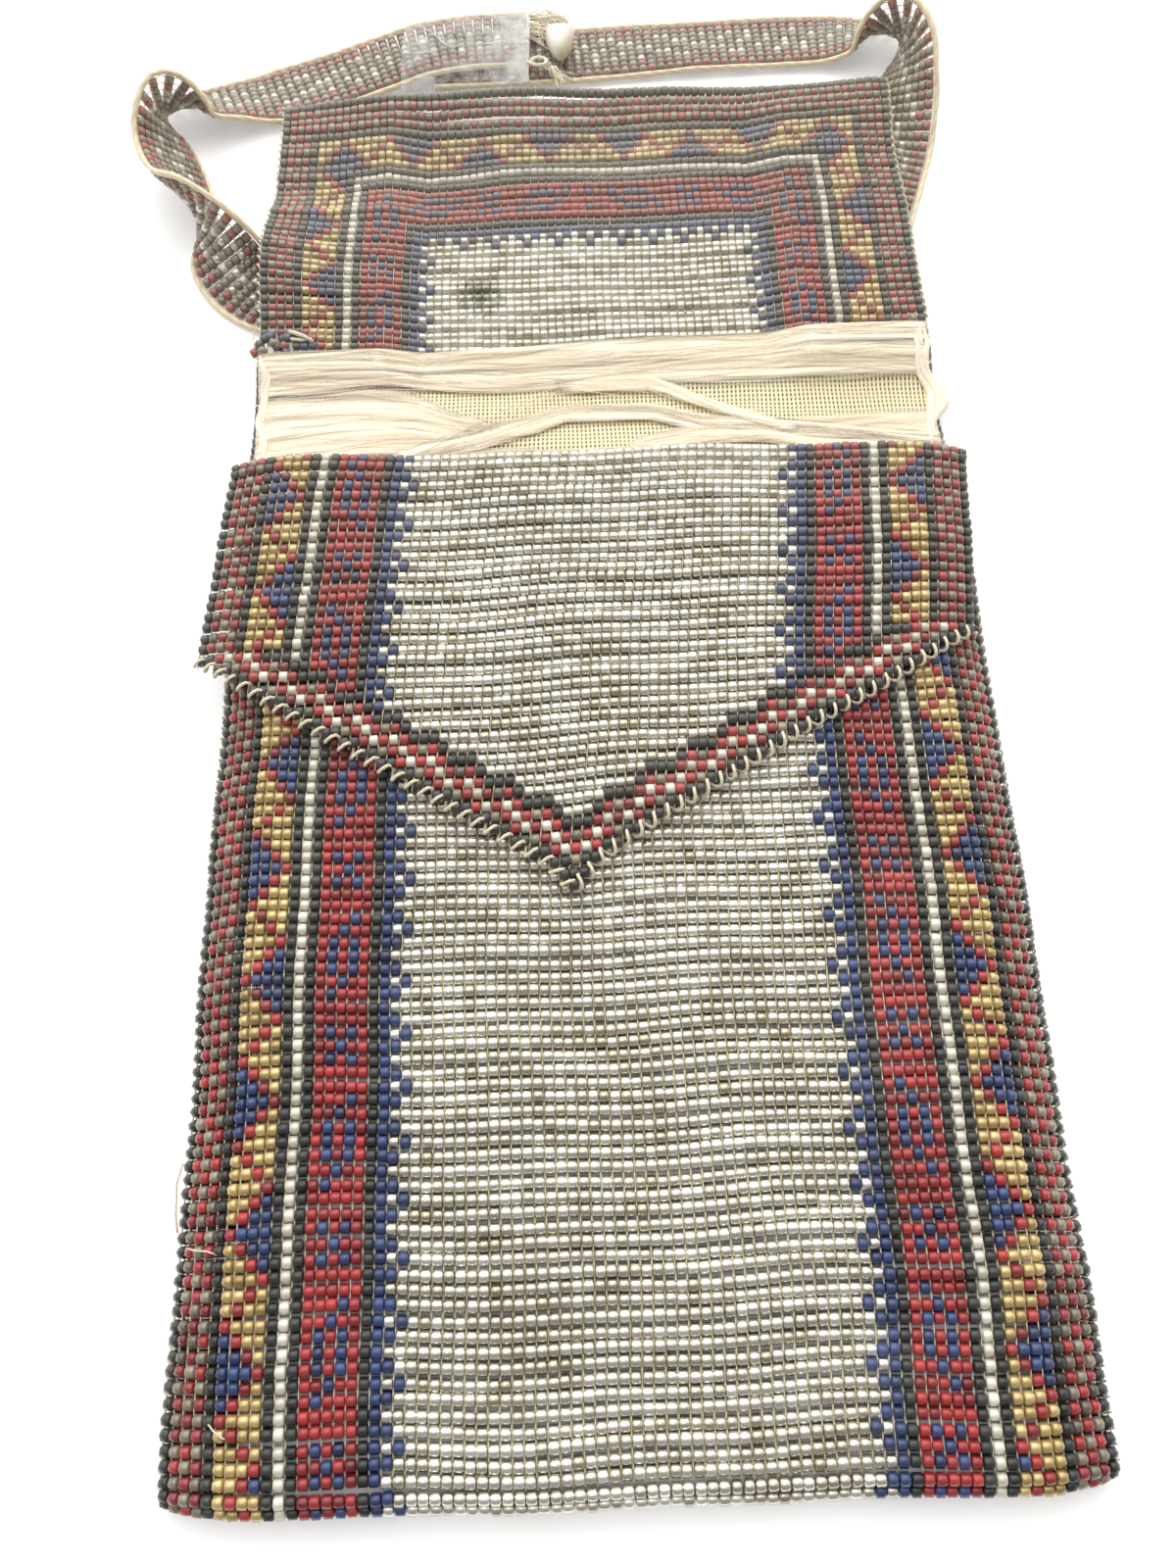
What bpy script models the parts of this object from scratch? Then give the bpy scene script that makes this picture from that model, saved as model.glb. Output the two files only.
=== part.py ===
"""A loom-woven beaded evening purse, lying flat with its mouth open.

One long strip of beadwork makes the whole purse. It runs from the far end of the leaf, under the lining,
along the back, round the bottom fold, up the front, over at the mouth and down again as a pointed flap.
A gauze and a torn silk sheet line the pouch, cords bind the edges, and a broken strap lies round the leaf.

Metres. X runs across the purse, Y from the bottom fold towards the leaf, and Z up from the table.
The origin is the middle of the pouch's underside.
"""
import math

import bmesh
import bpy
from mathutils import Vector

MM = 0.001

# Beadwork
COLUMNS = 81
COLUMN_PITCH = 1.655 * MM
ROW_PITCH = 2.03 * MM
BEAD = 1.9 * MM
GROOVE = 0.9 * MM          # thickness left between two rows of beads
GAP = 0.3 * MM             # clearance between one layer and the next

# Rows of beads in each panel
POUCH_ROWS = 81
FLAP_ROWS = 40
POINT_ROWS = 22            # the flap's rows that narrow to its point
POINT_STEP = 2             # columns lost on each side from one of these rows to the next
LEAF_ROWS = 52
LEAF_ROW_PITCH = 1.93 * MM
LEAF_END_WIDTH = 130.2 * MM
TORN_ROWS = range(15, 19)  # rows of the leaf that have lost beads at its left edge
TORN_COLUMNS = 4
BACK_LAND = 0.44           # share of each row of the back that lies flat on the table

# Lining
CLOTH = 0.2 * MM
LINING_EASE = 1.0 * MM     # clearance between the lining and the pouch's side slopes
LINING_LEAF_WIDTH = 131.0 * MM
LINING_REACH = 32.5 * MM   # how far the lining shows above the mouth
LINING_LEAN = 2.0 * MM     # how much further it reaches on the right than on the left
LINING_STEPS = 16          # lines across the lining in the pouch's front
SHOWN_STEPS = 16           # lines across the part that shows
NET_STEPS = 13             # the same for the gauze, whose net has an opening in every other cell
NET_COLUMNS = (4, 2, 13)     # cells across the gauze: each outer stretch, each bend of the leaf, the middle
SILK_COLUMNS = (3, 1, 8)     # the same for the silk
SILK_FOLD = 1.1 * MM       # height of the silk's soft folds
SILK_FOLDS = 2.5           # folds from the mouth to the silk's upper edge
FOLD_FADE = 0.2            # share of the silk, at its edges, over which the folds die out
SIDE_ROLL = 0.95 * MM      # radius of the silk's rolled side edges
SIDE_ROLL_TURN = (-50, 20, 90, 160)

# Worn openings in the silk: from and to across, from -1 to 1, then from and to above the mouth, from 0 to 1
SILK_TEARS = [
    (-0.54, -0.20, 0.50, 0.63),
    (-0.20, 0.86, 0.50, 0.69),
    (-0.07, 0.20, 0.31, 0.44),
    (-0.53, 0.00, 0.06, 0.19),
    (0.20, 0.66, 0.12, 0.25),
]

# Pouch
POCKET = 4.8 * MM          # room between the two faces of the lining
BOTTOM_ROOM = 1.75 * MM    # the same room at the bottom fold
BELLY_LENGTH = 34.0 * MM   # stretch over which the pouch fills out from its bottom fold
SIDE_SLOPE = 10.0 * MM     # width of the slope that brings the front down to the back
SIDE_SHOULDER = 0.45       # share of the drop passed at two thirds of that slope
SEAM_FREE = 13.0 * MM      # the side seams stop this far below the mouth

# Flap
FLAP_LEAN = 0.088          # sideways shift of the flap for each unit of its length
FLAP_TURN = 0.026          # slope of the flap's rows at its shoulders
FLAP_DROOP = 0.35          # how much of the front's side slope the flap follows

# Leaf, lifted off the table by the strap's ends below it
LEAF_FLAT = 68.0 * MM      # width of the middle that stays on the table
LEAF_STEP = 8.0 * MM
LEAF_LIFT_START = 20.0 * MM
LEAF_LIFT_RUN = 10.0 * MM
LEFT_LIFT = 4.4 * MM
RIGHT_LIFT = 2.6 * MM

# Where the strap lifts the leaf, back from its end, in half widths of that end
LEFT_LIFT_BACK = 0.666
LEFT_LIFT_REACH = 0.338
RIGHT_LIFT_BACK = 0.343
RIGHT_LIFT_RUN = 0.307

# Strap
STRAP_COLUMNS = 9
STRAP_WIDTH = 13.8 * MM
STRAP_ROW_PITCH = 2.05 * MM
CORD = 1.0 * MM            # the cords that bind the strap's edges
SEAM_CORD = 0.9 * MM
EDGE_CORD = 0.8 * MM
CORD_SLACK = 0.1 * MM      # how far a cord may cut a corner of its route
ROUTE_PARTS = 40           # short parts in which each span of a route is measured
LEAF_CORD_STEPS = 12
FLAP_CORD_ROWS = 4         # rows of the flap from one point of its cord to the next

# Repair at the strap's break
TAPE = 0.15 * MM
TAPE_LENGTH = 22.0 * MM
TAPE_ROUND = 0.4           # radius of the tape's turn at its sides, as a share of its height
KNOT_LENGTH = 6.2 * MM
KNOT_WIDTH = 10.6 * MM
KNOT_HEIGHT = 5.0 * MM
KNOT_APART = 3.6 * MM      # space between the left half's torn end and the knot

# Route of the strap's two halves: x in half widths of the leaf at that place, then y beyond the leaf's end
# and height above the table of the lower edge's cord, both in half widths of that end, and the roll in
# degrees, where 90 stands the band on its edge
LEFT_ROUTE = [
    (-0.1767, 0.2523, 0.0392, 0),
    (-0.3687, 0.2462, 0.0392, 0),
    (-0.5376, 0.2247, 0.0307, 0),
    (-0.6912, 0.1847, 0.0092, 0),
    (-0.8602, 0.1202, 0.0000, 0),
    (-1.0138, 0.0618, 0.0000, 1),
    (-1.1674, 0.0127, 0.0000, 14),
    (-1.2926, -0.0303, 0.0000, 30),
    (-1.3690, -0.1041, 0.0000, 78),
    (-1.3601, -0.2085, 0.0000, 122),
    (-1.3125, -0.3391, 0.0000, 134),
    (-1.2447, -0.4927, 0.0000, 116),
    (-1.1735, -0.6156, 0.0000, 62),
    (-1.1001, -0.7154, 0.0000, 18),
    (-1.0138, -0.7922, 0.0000, 3),
    (-0.8994, -0.8445, 0.0000, 0),
    (-0.7780, -0.8752, 0.0000, 0),
]
RIGHT_ROUTE = [
    (-0.5069, 0.2001, 0.0031, 0),
    (-0.2765, 0.2062, 0.0031, 0),
    (-0.0307, 0.2185, 0.0015, 0),
    (0.1843, 0.2369, 0.0000, 1),
    (0.3840, 0.2508, 0.0000, 4),
    (0.6912, 0.2646, 0.0000, 3),
    (0.8756, 0.2631, 0.0000, 8),
    (0.9892, 0.2400, 0.0000, 28),
    (1.0722, 0.1724, 0.0000, 78),
    (1.0845, 0.0649, 0.0000, 118),
    (1.0591, -0.0396, 0.0000, 145),
    (1.0355, -0.1471, 0.0000, 163),
    (1.0089, -0.2546, 0.0000, 177),
    (0.9284, -0.4850, 0.0000, 180),
    (0.8407, -0.7308, 0.0000, 180),
    (0.7938, -0.9305, 0.0000, 180),
]

# Derived sizes
HALF_WIDTH = COLUMNS * COLUMN_PITCH / 2
MOUTH = POUCH_ROWS * ROW_PITCH / 2
LAYER = BEAD + GAP
GAUZE_OFFSET = BEAD / 2 + GAP + CLOTH / 2
SILK_OFFSET = GAUZE_OFFSET + CLOTH + GAP
BACK_LEVEL = BEAD / 2
FRONT_LEVEL = BACK_LEVEL + 2 * SILK_OFFSET + CLOTH + POCKET
BOTTOM_LEVEL = BACK_LEVEL + 2 * SILK_OFFSET + CLOTH + BOTTOM_ROOM
SEAM_LEVEL = BACK_LEVEL + LAYER
LINING_HALF = HALF_WIDTH - SIDE_SLOPE - LINING_EASE
LEAF_END = MOUTH + LEAF_ROWS * LEAF_ROW_PITCH
ROUTE_UNIT = LEAF_END_WIDTH / 2

# Colours, linear RGB
SILVER = (0.45, 0.41, 0.30)
RED = (0.42, 0.03, 0.03)
BLUE = (0.03, 0.06, 0.25)
BLACK = (0.02, 0.02, 0.02)
GOLD = (0.42, 0.29, 0.09)
WHITE = (0.62, 0.58, 0.48)
CHECK = (0.24, 0.10, 0.08)

# Fields of colour from the strip's edge inwards: the column where each begins, and its colour
BORDER = [(0, BLACK), (1, CHECK), (4, BLACK), (5, GOLD), (9, BLACK), (10, WHITE), (11, BLACK),
          (12, RED), (17, BLACK), (18, BLUE), (20, SILVER)]
STRAP_BORDER = [(0, CHECK), (2, WHITE)]


def new_material(name, colour, roughness, metallic, alpha=1.0):
    material = bpy.data.materials.new(name)
    material.use_nodes = True
    shader = material.node_tree.nodes["Principled BSDF"]
    shader.inputs["Base Color"].default_value = (*colour, 1.0)
    shader.inputs["Roughness"].default_value = roughness
    shader.inputs["Metallic"].default_value = metallic
    shader.inputs["Alpha"].default_value = alpha
    return material


def banded_material(name, fields, columns_shown):
    """Beadwork whose colour depends on how many columns in from its edge a point lies, read from U."""
    material = new_material(name, SILVER, 0.3, 0.6)
    tree = material.node_tree
    layer = tree.nodes.new("ShaderNodeUVMap")
    split = tree.nodes.new("ShaderNodeSeparateXYZ")
    share = tree.nodes.new("ShaderNodeMath")
    share.operation = "DIVIDE"
    share.inputs[1].default_value = columns_shown
    ramp = tree.nodes.new("ShaderNodeValToRGB")
    ramp.color_ramp.interpolation = "CONSTANT"
    stops = ramp.color_ramp.elements
    while len(stops) < len(fields):
        stops.new(1.0)
    for stop, (column, colour) in zip(stops, fields):
        stop.position = column / columns_shown
        stop.color = (*colour, 1.0)
    shader = tree.nodes["Principled BSDF"]
    tree.links.new(layer.outputs["UV"], split.inputs["Vector"])
    tree.links.new(split.outputs["X"], share.inputs[0])
    tree.links.new(share.outputs["Value"], ramp.inputs["Fac"])
    tree.links.new(ramp.outputs["Color"], shader.inputs["Base Color"])
    return material


def smooth(share):
    """Ease from 0 to 1 as the share does."""
    share = min(max(share, 0.0), 1.0)
    return share * share * (3.0 - 2.0 * share)


def front_height(x, y):
    """Height of the front's middle layer: full in the pouch, low at its bottom fold and its seams."""
    fill = smooth((y + MOUTH) / BELLY_LENGTH)
    level = BOTTOM_LEVEL + (FRONT_LEVEL - BOTTOM_LEVEL) * fill
    opened = smooth((y - MOUTH + SEAM_FREE) / SEAM_FREE)
    drop = (level - SEAM_LEVEL) * (1.0 - opened)
    return level - drop * side_share(x)


def side_share(x):
    """Share of the drop to the seam at a distance x from the middle line."""
    run = (abs(x) - HALF_WIDTH + SIDE_SLOPE) / SIDE_SLOPE
    if run <= 0.0:
        return 0.0
    knee = 2.0 / 3.0
    if run < knee:
        return SIDE_SHOULDER * run / knee
    return SIDE_SHOULDER + (1.0 - SIDE_SHOULDER) * (run - knee) / (1.0 - knee)


def flap_height(x, y):
    """Height of the flap's middle layer, one layer above the front."""
    flat = front_height(0.0, y)
    return flat + LAYER - FLAP_DROOP * (FRONT_LEVEL - SEAM_LEVEL) * side_share(x)


def leaf_height(x, y):
    """Height of the leaf's middle layer: flat in the middle, lifted at its sides by the strap's ends."""
    step = LAYER * smooth((y - MOUTH - LEAF_LIFT_START) / LEAF_LIFT_RUN)
    back = (LEAF_END - y) / ROUTE_UNIT
    side = abs(x) - LEAF_FLAT / 2
    climb = min(max(side / LEAF_STEP, 0.0), 1.0)
    outer = HALF_WIDTH - LEAF_FLAT / 2 - LEAF_STEP
    far = min(max((side - LEAF_STEP) / outer, 0.0), 1.0)
    if x < 0:
        extra = LEFT_LIFT * smooth(1.0 - abs(back - LEFT_LIFT_BACK) / LEFT_LIFT_REACH)
    else:
        extra = RIGHT_LIFT * smooth((RIGHT_LIFT_BACK - back) / RIGHT_LIFT_RUN)
    return BACK_LEVEL + step * climb + extra * far


def flap_shift(x, y):
    """Plan position of a point of the flap, which has swung a little to the left."""
    down = MOUTH - y
    turn = FLAP_TURN * down / (POINT_ROWS * ROW_PITCH)
    return x - FLAP_LEAN * down, y + turn * x


def side_points(half):
    """Places across a row: its two edges, and where the side slopes begin and bend."""
    inner = half * (HALF_WIDTH - SIDE_SLOPE) / HALF_WIDTH
    knee = half * (HALF_WIDTH - SIDE_SLOPE / 3) / HALF_WIDTH
    return [-half, -knee, -inner, inner, knee, half]


def leaf_points(half):
    flat = LEAF_FLAT / 2
    return [-half, -flat - LEAF_STEP, -flat, flat, flat + LEAF_STEP, half]


def leaf_half(y):
    """Half the leaf's width, which narrows towards its far end."""
    share = (y - MOUTH) / (LEAF_END - MOUTH)
    return HALF_WIDTH + (LEAF_END_WIDTH / 2 - HALF_WIDTH) * share


def point_half(row):
    """Half the width of a row of the flap, counted from its point."""
    columns = COLUMNS
    if row < POINT_ROWS:
        columns = min(COLUMNS, 2 * POINT_STEP * max(row - 1, 0) + 1)
    if row == 1:
        columns = POINT_STEP + 1
    return columns * COLUMN_PITCH / 2


def leaf_line(row, y, full):
    """A line across the leaf. The torn rows begin a few columns in from the left edge."""
    half = leaf_half(y)
    across = leaf_points(half)
    if row in TORN_ROWS:
        across[0] += TORN_COLUMNS * COLUMN_PITCH
    return ([(x, y, leaf_height(x, y)) for x in across], full)


def fold_lines(across, y, below, above, side):
    """Lines round a fold that joins two panels at y. side is 1 where it bulges towards the leaf."""
    middle = (above(0.0, y) - below(0.0, y)) / 2
    rows = max(1, round(math.pi * middle / ROW_PITCH))
    lines = []
    for step in range(1, 2 * rows):
        angle = math.pi * step / (2 * rows)
        points = []
        for x in across:
            radius = (above(x, y) - below(x, y)) / 2
            level = below(x, y) + radius * (1.0 - math.cos(angle))
            points.append((x, y + side * radius * math.sin(angle), level))
        lines.append((points, float(step % 2)))
    return lines


def back_height(x, y):
    return BACK_LEVEL


def strip_lines():
    """Lines of points across the strip, in order along it, each with its share of the beads' thickness.

    A row of beads is a full line with a thin line, its groove, after it. On the back, which rests on the
    table, each row has two full lines, so that it has a flat land to stand on.
    """
    lines = []
    for row in reversed(range(LEAF_ROWS)):
        lines.append(leaf_line(row, MOUTH + (row + 0.5) * LEAF_ROW_PITCH, 1.0))
        lines.append(leaf_line(row - 1, MOUTH + row * LEAF_ROW_PITCH, 0.0))
    land = ROW_PITCH * BACK_LAND / 2
    for row in reversed(range(POUCH_ROWS)):
        middle = -MOUTH + (row + 0.5) * ROW_PITCH
        for y, full in ((middle + land, 1.0), (middle - land, 1.0), (middle - ROW_PITCH / 2, 0.0)):
            lines.append(([(x, y, BACK_LEVEL) for x in (-HALF_WIDTH, HALF_WIDTH)], full))
    across = side_points(HALF_WIDTH)
    lines += fold_lines(across, -MOUTH, back_height, front_height, -1)
    lines += front_lines(across)
    lines += fold_lines(across, MOUTH, front_height, flap_height, 1)
    return lines + flap_lines()


def front_lines(across):
    lines = []
    for row in range(POUCH_ROWS):
        for part, full in ((0.0, 0.0), (0.5, 1.0)):
            y = -MOUTH + (row + part) * ROW_PITCH
            lines.append(([(x, y, front_height(x, y)) for x in across], full))
    lines.append(([(x, MOUTH, front_height(x, MOUTH)) for x in across], 0.0))
    return lines


def flap_lines():
    """The flap's rows, from the fold at the mouth to the single bead at its point."""
    lines = []
    for row in reversed(range(FLAP_ROWS)):
        half = point_half(row)
        for part, full in ((1.0, 0.0), (0.5, 1.0)):
            y = MOUTH - (FLAP_ROWS - row - part) * ROW_PITCH
            points = []
            for x in side_points(half):
                place = flap_shift(x, y)
                points.append((place[0], place[1], flap_height(x, y)))
            lines.append((points, full))
    end = MOUTH - FLAP_ROWS * ROW_PITCH
    tip = [(*flap_shift(x, end), flap_height(x, end)) for x in side_points(point_half(0))]
    lines.append((tip, 0.0))
    return lines


def bridge(mesh, first, second):
    """Join two lines of points with faces: quads, or a fan where one line is only two points."""
    if len(first) == len(second):
        for i in range(len(first) - 1):
            mesh.faces.new((first[i], first[i + 1], second[i + 1], second[i]))
        return
    middle = len(second) // 2
    for i in range(len(second) - 1):
        mesh.faces.new((first[0] if i < middle else first[1], second[i + 1], second[i]))
    mesh.faces.new((first[0], first[1], second[middle]))


def sheet_object(name, lines, thickness, thin_share, material, edge_columns=None, openings=()):
    """A woven sheet from lines of points: an open surface given its thickness by Solidify. openings names
    the faces to leave out, each by its line and its cell across."""
    mesh = bmesh.new()
    weights = mesh.verts.layers.deform.verify()
    rows = []
    for points, full in lines:
        row = []
        for point in points:
            vertex = mesh.verts.new(point)
            vertex[weights][0] = full
            row.append(vertex)
        rows.append(row)
    for first, second in zip(rows, rows[1:]):
        if len(first) > len(second):
            bridge(mesh, second, first)
        else:
            bridge(mesh, first, second)
    for line, cell in openings:
        corners = {rows[line][cell], rows[line][cell + 1], rows[line + 1][cell + 1], rows[line + 1][cell]}
        face = next(face for face in rows[line][cell].link_faces if set(face.verts) == corners)
        mesh.faces.remove(face)
    bmesh.ops.recalc_face_normals(mesh, faces=mesh.faces)
    data = bpy.data.meshes.new(name)
    mesh.to_mesh(data)
    mesh.free()
    data.materials.append(material)
    sheet = bpy.data.objects.new(name, data)
    parts.objects.link(sheet)
    sheet.vertex_groups.new(name="rows")
    solid = sheet.modifiers.new("thickness", "SOLIDIFY")
    solid.thickness = thickness
    solid.offset = 0.0
    solid.vertex_group = "rows"
    solid.thickness_vertex_group = thin_share
    if edge_columns:
        add_edge_map(data, [len(points) for points, full in lines], *edge_columns)
    return sheet


def add_edge_map(data, counts, columns, pitch):
    """A UV layer whose U counts the columns in from the nearer edge."""
    layer = data.uv_layers.new(name="columns")
    distance = {}
    index = 0
    for count in counts:
        line = [data.vertices[index + i].co for i in range(count)]
        along = [0.0]
        for a, b in zip(line, line[1:]):
            along.append(along[-1] + (b - a).length)
        for i in range(count):
            distance[index + i] = min(along[i], along[-1] - along[i]) / pitch
        index += count
    for loop in data.loops:
        layer.data[loop.index].uv = (distance[loop.vertex_index], 0.0)


def cord_object(name, points, diameter, material):
    """A cord: a smooth curve with a round section and closed ends."""
    curve = bpy.data.curves.new(name, "CURVE")
    curve.dimensions = "3D"
    curve.bevel_depth = diameter / 2
    curve.bevel_resolution = 1
    curve.use_fill_caps = True
    spline = curve.splines.new("POLY")
    spline.points.add(len(points) - 1)
    for target, point in zip(spline.points, points):
        target.co = (*point, 1.0)
    curve.materials.append(material)
    cord = bpy.data.objects.new(name, curve)
    parts.objects.link(cord)
    return cord


def lining_pocket(offset):
    """The part of a lining sheet inside the pouch: front layer from the mouth down, bottom fold, and back."""
    across = (-LINING_HALF, LINING_HALF)
    lines = []
    for step in range(LINING_STEPS + 1):
        y = MOUTH - 2 * MOUTH * step / LINING_STEPS
        level = front_height(0.0, y) - offset
        lines.append(([(x, y, level) for x in across], 1.0))
    low = BACK_LEVEL + offset
    radius = (front_height(0.0, -MOUTH) - offset - low) / 2
    for turn in (45, 90, 135):
        angle = math.radians(turn)
        level = low + radius * (1.0 + math.cos(angle))
        lines.append(([(x, -MOUTH - radius * math.sin(angle), level) for x in across], 1.0))
    for y in (-MOUTH, 0.0, MOUTH):
        lines.append(([(x, y, low) for x in across], 1.0))
    return lines


def split_between(values, parts):
    """The values with more of them between, so many equal parts for each pair."""
    result = []
    for low, high, count in zip(values, values[1:], parts):
        result += [low + (high - low) * i / count for i in range(count)]
    return result + [values[-1]]


def lining_across(half, cells):
    """Places across the part that shows, with a line at each bend of the leaf below. cells counts the cells
    of the outer, the bending and the middle stretches."""
    flat = LEAF_FLAT / 2
    bends = [-half, -flat - LEAF_STEP, -flat, flat, flat + LEAF_STEP, half]
    outer, bend, middle = cells
    return split_between(bends, (outer, bend, middle, bend, outer))


def gauze_lines():
    """The gauze: a net where it shows above the mouth, with the numbers of its openings."""
    lines = lining_pocket(GAUZE_OFFSET)
    first = len(lines)
    half = LINING_LEAF_WIDTH / 2
    across = lining_across(half, NET_COLUMNS)
    for step in range(1, NET_STEPS + 1):
        share = step / NET_STEPS
        points = []
        for x in across:
            y = MOUTH + LINING_REACH * share + LINING_LEAN * share * x / half
            points.append((x, y, leaf_height(x, y) + GAUZE_OFFSET))
        lines.append((points, 1.0))
    openings = []
    for line in range(first, len(lines) - 1, 2):
        openings += [(line, cell) for cell in range(1, len(across) - 2, 2)]
    return lines, openings


def silk_fold(x_share, share):
    """Share of the silk's fold height at a place, zero at its edges. The folds run across the purse."""
    wave = 0.5 - 0.5 * math.cos(2 * math.pi * (SILK_FOLDS * share + x_share / 2))
    return wave * smooth((1.0 - abs(x_share)) / FOLD_FADE) * smooth((1.0 - share) / FOLD_FADE)


def silk_lines():
    """The silk: folded and torn where it shows above the mouth, with its side edges rolled inwards."""
    lines = lining_pocket(SILK_OFFSET)
    first = len(lines)
    half = LINING_LEAF_WIDTH / 2 - GAP - SIDE_ROLL
    across = lining_across(half, SILK_COLUMNS)
    reach = LINING_REACH - GAP
    for step in range(1, SHOWN_STEPS + 1):
        share = step / SHOWN_STEPS
        points = []
        for x in across:
            y = MOUTH + reach * share + LINING_LEAN * share * x / half
            points.append((x, y, leaf_height(x, y) + SILK_OFFSET + SILK_FOLD * silk_fold(x / half, share)))
        lines.append((roll_up(points[0])[::-1] + points + roll_up(points[-1]), 1.0))
    rolled = len(SIDE_ROLL_TURN)
    openings = []
    for step in range(1, SHOWN_STEPS):
        share = (step + 0.5) / SHOWN_STEPS
        for cell, (left, right) in enumerate(zip(across, across[1:])):
            place = (left + right) / 2 / half
            if any(x0 < place < x1 and y0 < share < y1 for x0, x1, y0, y1 in SILK_TEARS):
                openings.append((first + step - 1, rolled + cell))
    return lines, openings


def roll_up(edge):
    """Places round the rolled edge of the silk, from the sheet's own edge outwards, up and back."""
    side = math.copysign(1.0, edge[0])
    x, y, z = edge
    places = []
    for turn in SIDE_ROLL_TURN:
        angle = math.radians(turn)
        places.append((x + side * SIDE_ROLL * math.cos(angle), y, z + SIDE_ROLL * (1.0 + math.sin(angle))))
    return places


def catmull(a, b, c, d, t):
    """A point between b and c on the smooth curve through four values."""
    return b + 0.5 * t * (c - a + t * (2 * a - 5 * b + 4 * c - d + t * (3 * (b - c) + d - a)))


def route_place(point):
    """A route's point in metres, with the height of the lower edge's cord."""
    x, y, low = point[:3]
    y = LEAF_END + y * ROUTE_UNIT
    return Vector((x * leaf_half(min(y, LEAF_END)), y, low * ROUTE_UNIT))


def ribbon_stations(route, pitch):
    """Stations along a route at an even pitch: position, direction, and the way towards the marked edge."""
    padded = [route[0]] + route + [route[-1]]
    fine = []
    for i in range(len(route) - 1):
        for part in range(ROUTE_PARTS):
            t = part / ROUTE_PARTS
            fine.append([catmull(*(padded[i + j][k] for j in range(4)), t) for k in range(4)])
    fine.append(list(map(float, route[-1])))
    half = STRAP_WIDTH / 2 + GAP + CORD / 2
    places = []
    for x, y, low, roll in fine:
        tilt = math.radians(roll)
        lowest = max(BEAD / 2, CORD / 2 + half * abs(math.sin(tilt)))
        place = route_place((x, y, low))
        places.append((place + Vector((0.0, 0.0, lowest)), tilt))
    run = [0.0]
    for (a, unused), (b, unused_too) in zip(places, places[1:]):
        run.append(run[-1] + (b - a).length)
    count = round(run[-1] / pitch)
    stations = []
    index = 0
    for step in range(2 * count + 1):
        goal = run[-1] * step / (2 * count)
        while index < len(run) - 2 and run[index + 1] < goal:
            index += 1
        share = (goal - run[index]) / (run[index + 1] - run[index])
        (a, roll_a), (b, roll_b) = places[index], places[index + 1]
        ahead = (b - a).normalized()
        left = Vector((-ahead.y, ahead.x, 0.0)).normalized()
        roll = roll_a + (roll_b - roll_a) * share
        up = ahead.cross(left)
        stations.append((a.lerp(b, share), left, up, roll, float(step % 2)))
    return stations


def thin_out(points):
    """Keep only the points that a line needs to stay within the cords' slack of its route."""
    kept = [0]
    for end in range(2, len(points)):
        start = kept[-1]
        chord = points[end] - points[start]
        away = [(point - points[start]).cross(chord).length / chord.length for point in points[start:end]]
        if max(away) > CORD_SLACK:
            kept.append(end - 1)
    kept.append(len(points) - 1)
    return [points[i] for i in kept]


def strap_half(name, route, marked_side, material, cord_material):
    """Half of the strap, with a cord along each edge. marked_side is 1 where the edge that rises is on
    the left hand along the route, and -1 where it is on the right."""
    stations = ribbon_stations(route, STRAP_ROW_PITCH)
    lines = []
    edges = ([], [])
    reach = STRAP_WIDTH / 2
    cord_reach = reach + GAP + CORD / 2
    for place, left, up, roll, full in stations:
        across = left * (marked_side * math.cos(roll)) + up * math.sin(roll)
        lines.append(([tuple(place - across * reach), tuple(place + across * reach)], full))
        for edge, sign in zip(edges, (-1, 1)):
            edge.append(place + across * (sign * cord_reach))
    strap = sheet_object(name, lines, BEAD, GROOVE / BEAD, material, (COLUMNS, STRAP_WIDTH / STRAP_COLUMNS))
    for edge, side in zip(edges, ("outer", "inner")):
        cord_object(f"{name}_{side}_cord", thin_out(edge), CORD, cord_material)
    return strap


def repair_tape(material):
    """A clear tape wrapped once round both ends at the strap's break."""
    left_end, left_next = (route_place(point) for point in LEFT_ROUTE[:2])
    right_end = route_place(RIGHT_ROUTE[0])
    start = left_end.x - GAP
    centre_y = (left_next.y + right_end.y) / 2
    spread = abs(left_end.y - right_end.y)
    width = STRAP_WIDTH + 2 * (GAP + CORD) + spread + 2 * GAP + TAPE
    height = left_end.z + BEAD + 2 * GAP
    centre = (start - TAPE_LENGTH / 2, centre_y, (height + TAPE) / 2)
    bpy.ops.mesh.primitive_cube_add(size=1.0, location=centre)
    tape = bpy.context.object
    tape.name = "repair_tape"
    tape.scale = (TAPE_LENGTH, width, height)
    bpy.ops.object.transform_apply(location=False, rotation=False, scale=True)
    mesh = bmesh.new()
    mesh.from_mesh(tape.data)
    ends = [face for face in mesh.faces if abs(face.normal.x) > 0.5]
    bmesh.ops.delete(mesh, geom=ends, context="FACES_ONLY")
    corners = [edge for edge in mesh.edges if abs((edge.verts[0].co - edge.verts[1].co).x) > TAPE_LENGTH / 2]
    bmesh.ops.bevel(mesh, geom=corners, offset=height * TAPE_ROUND, segments=3, profile=0.5, affect="EDGES")
    mesh.to_mesh(tape.data)
    mesh.free()
    tape.data.materials.append(material)
    solid = tape.modifiers.new("thickness", "SOLIDIFY")
    solid.thickness = TAPE
    solid.offset = 0.0
    move_to_parts(tape)
    return tape


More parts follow.
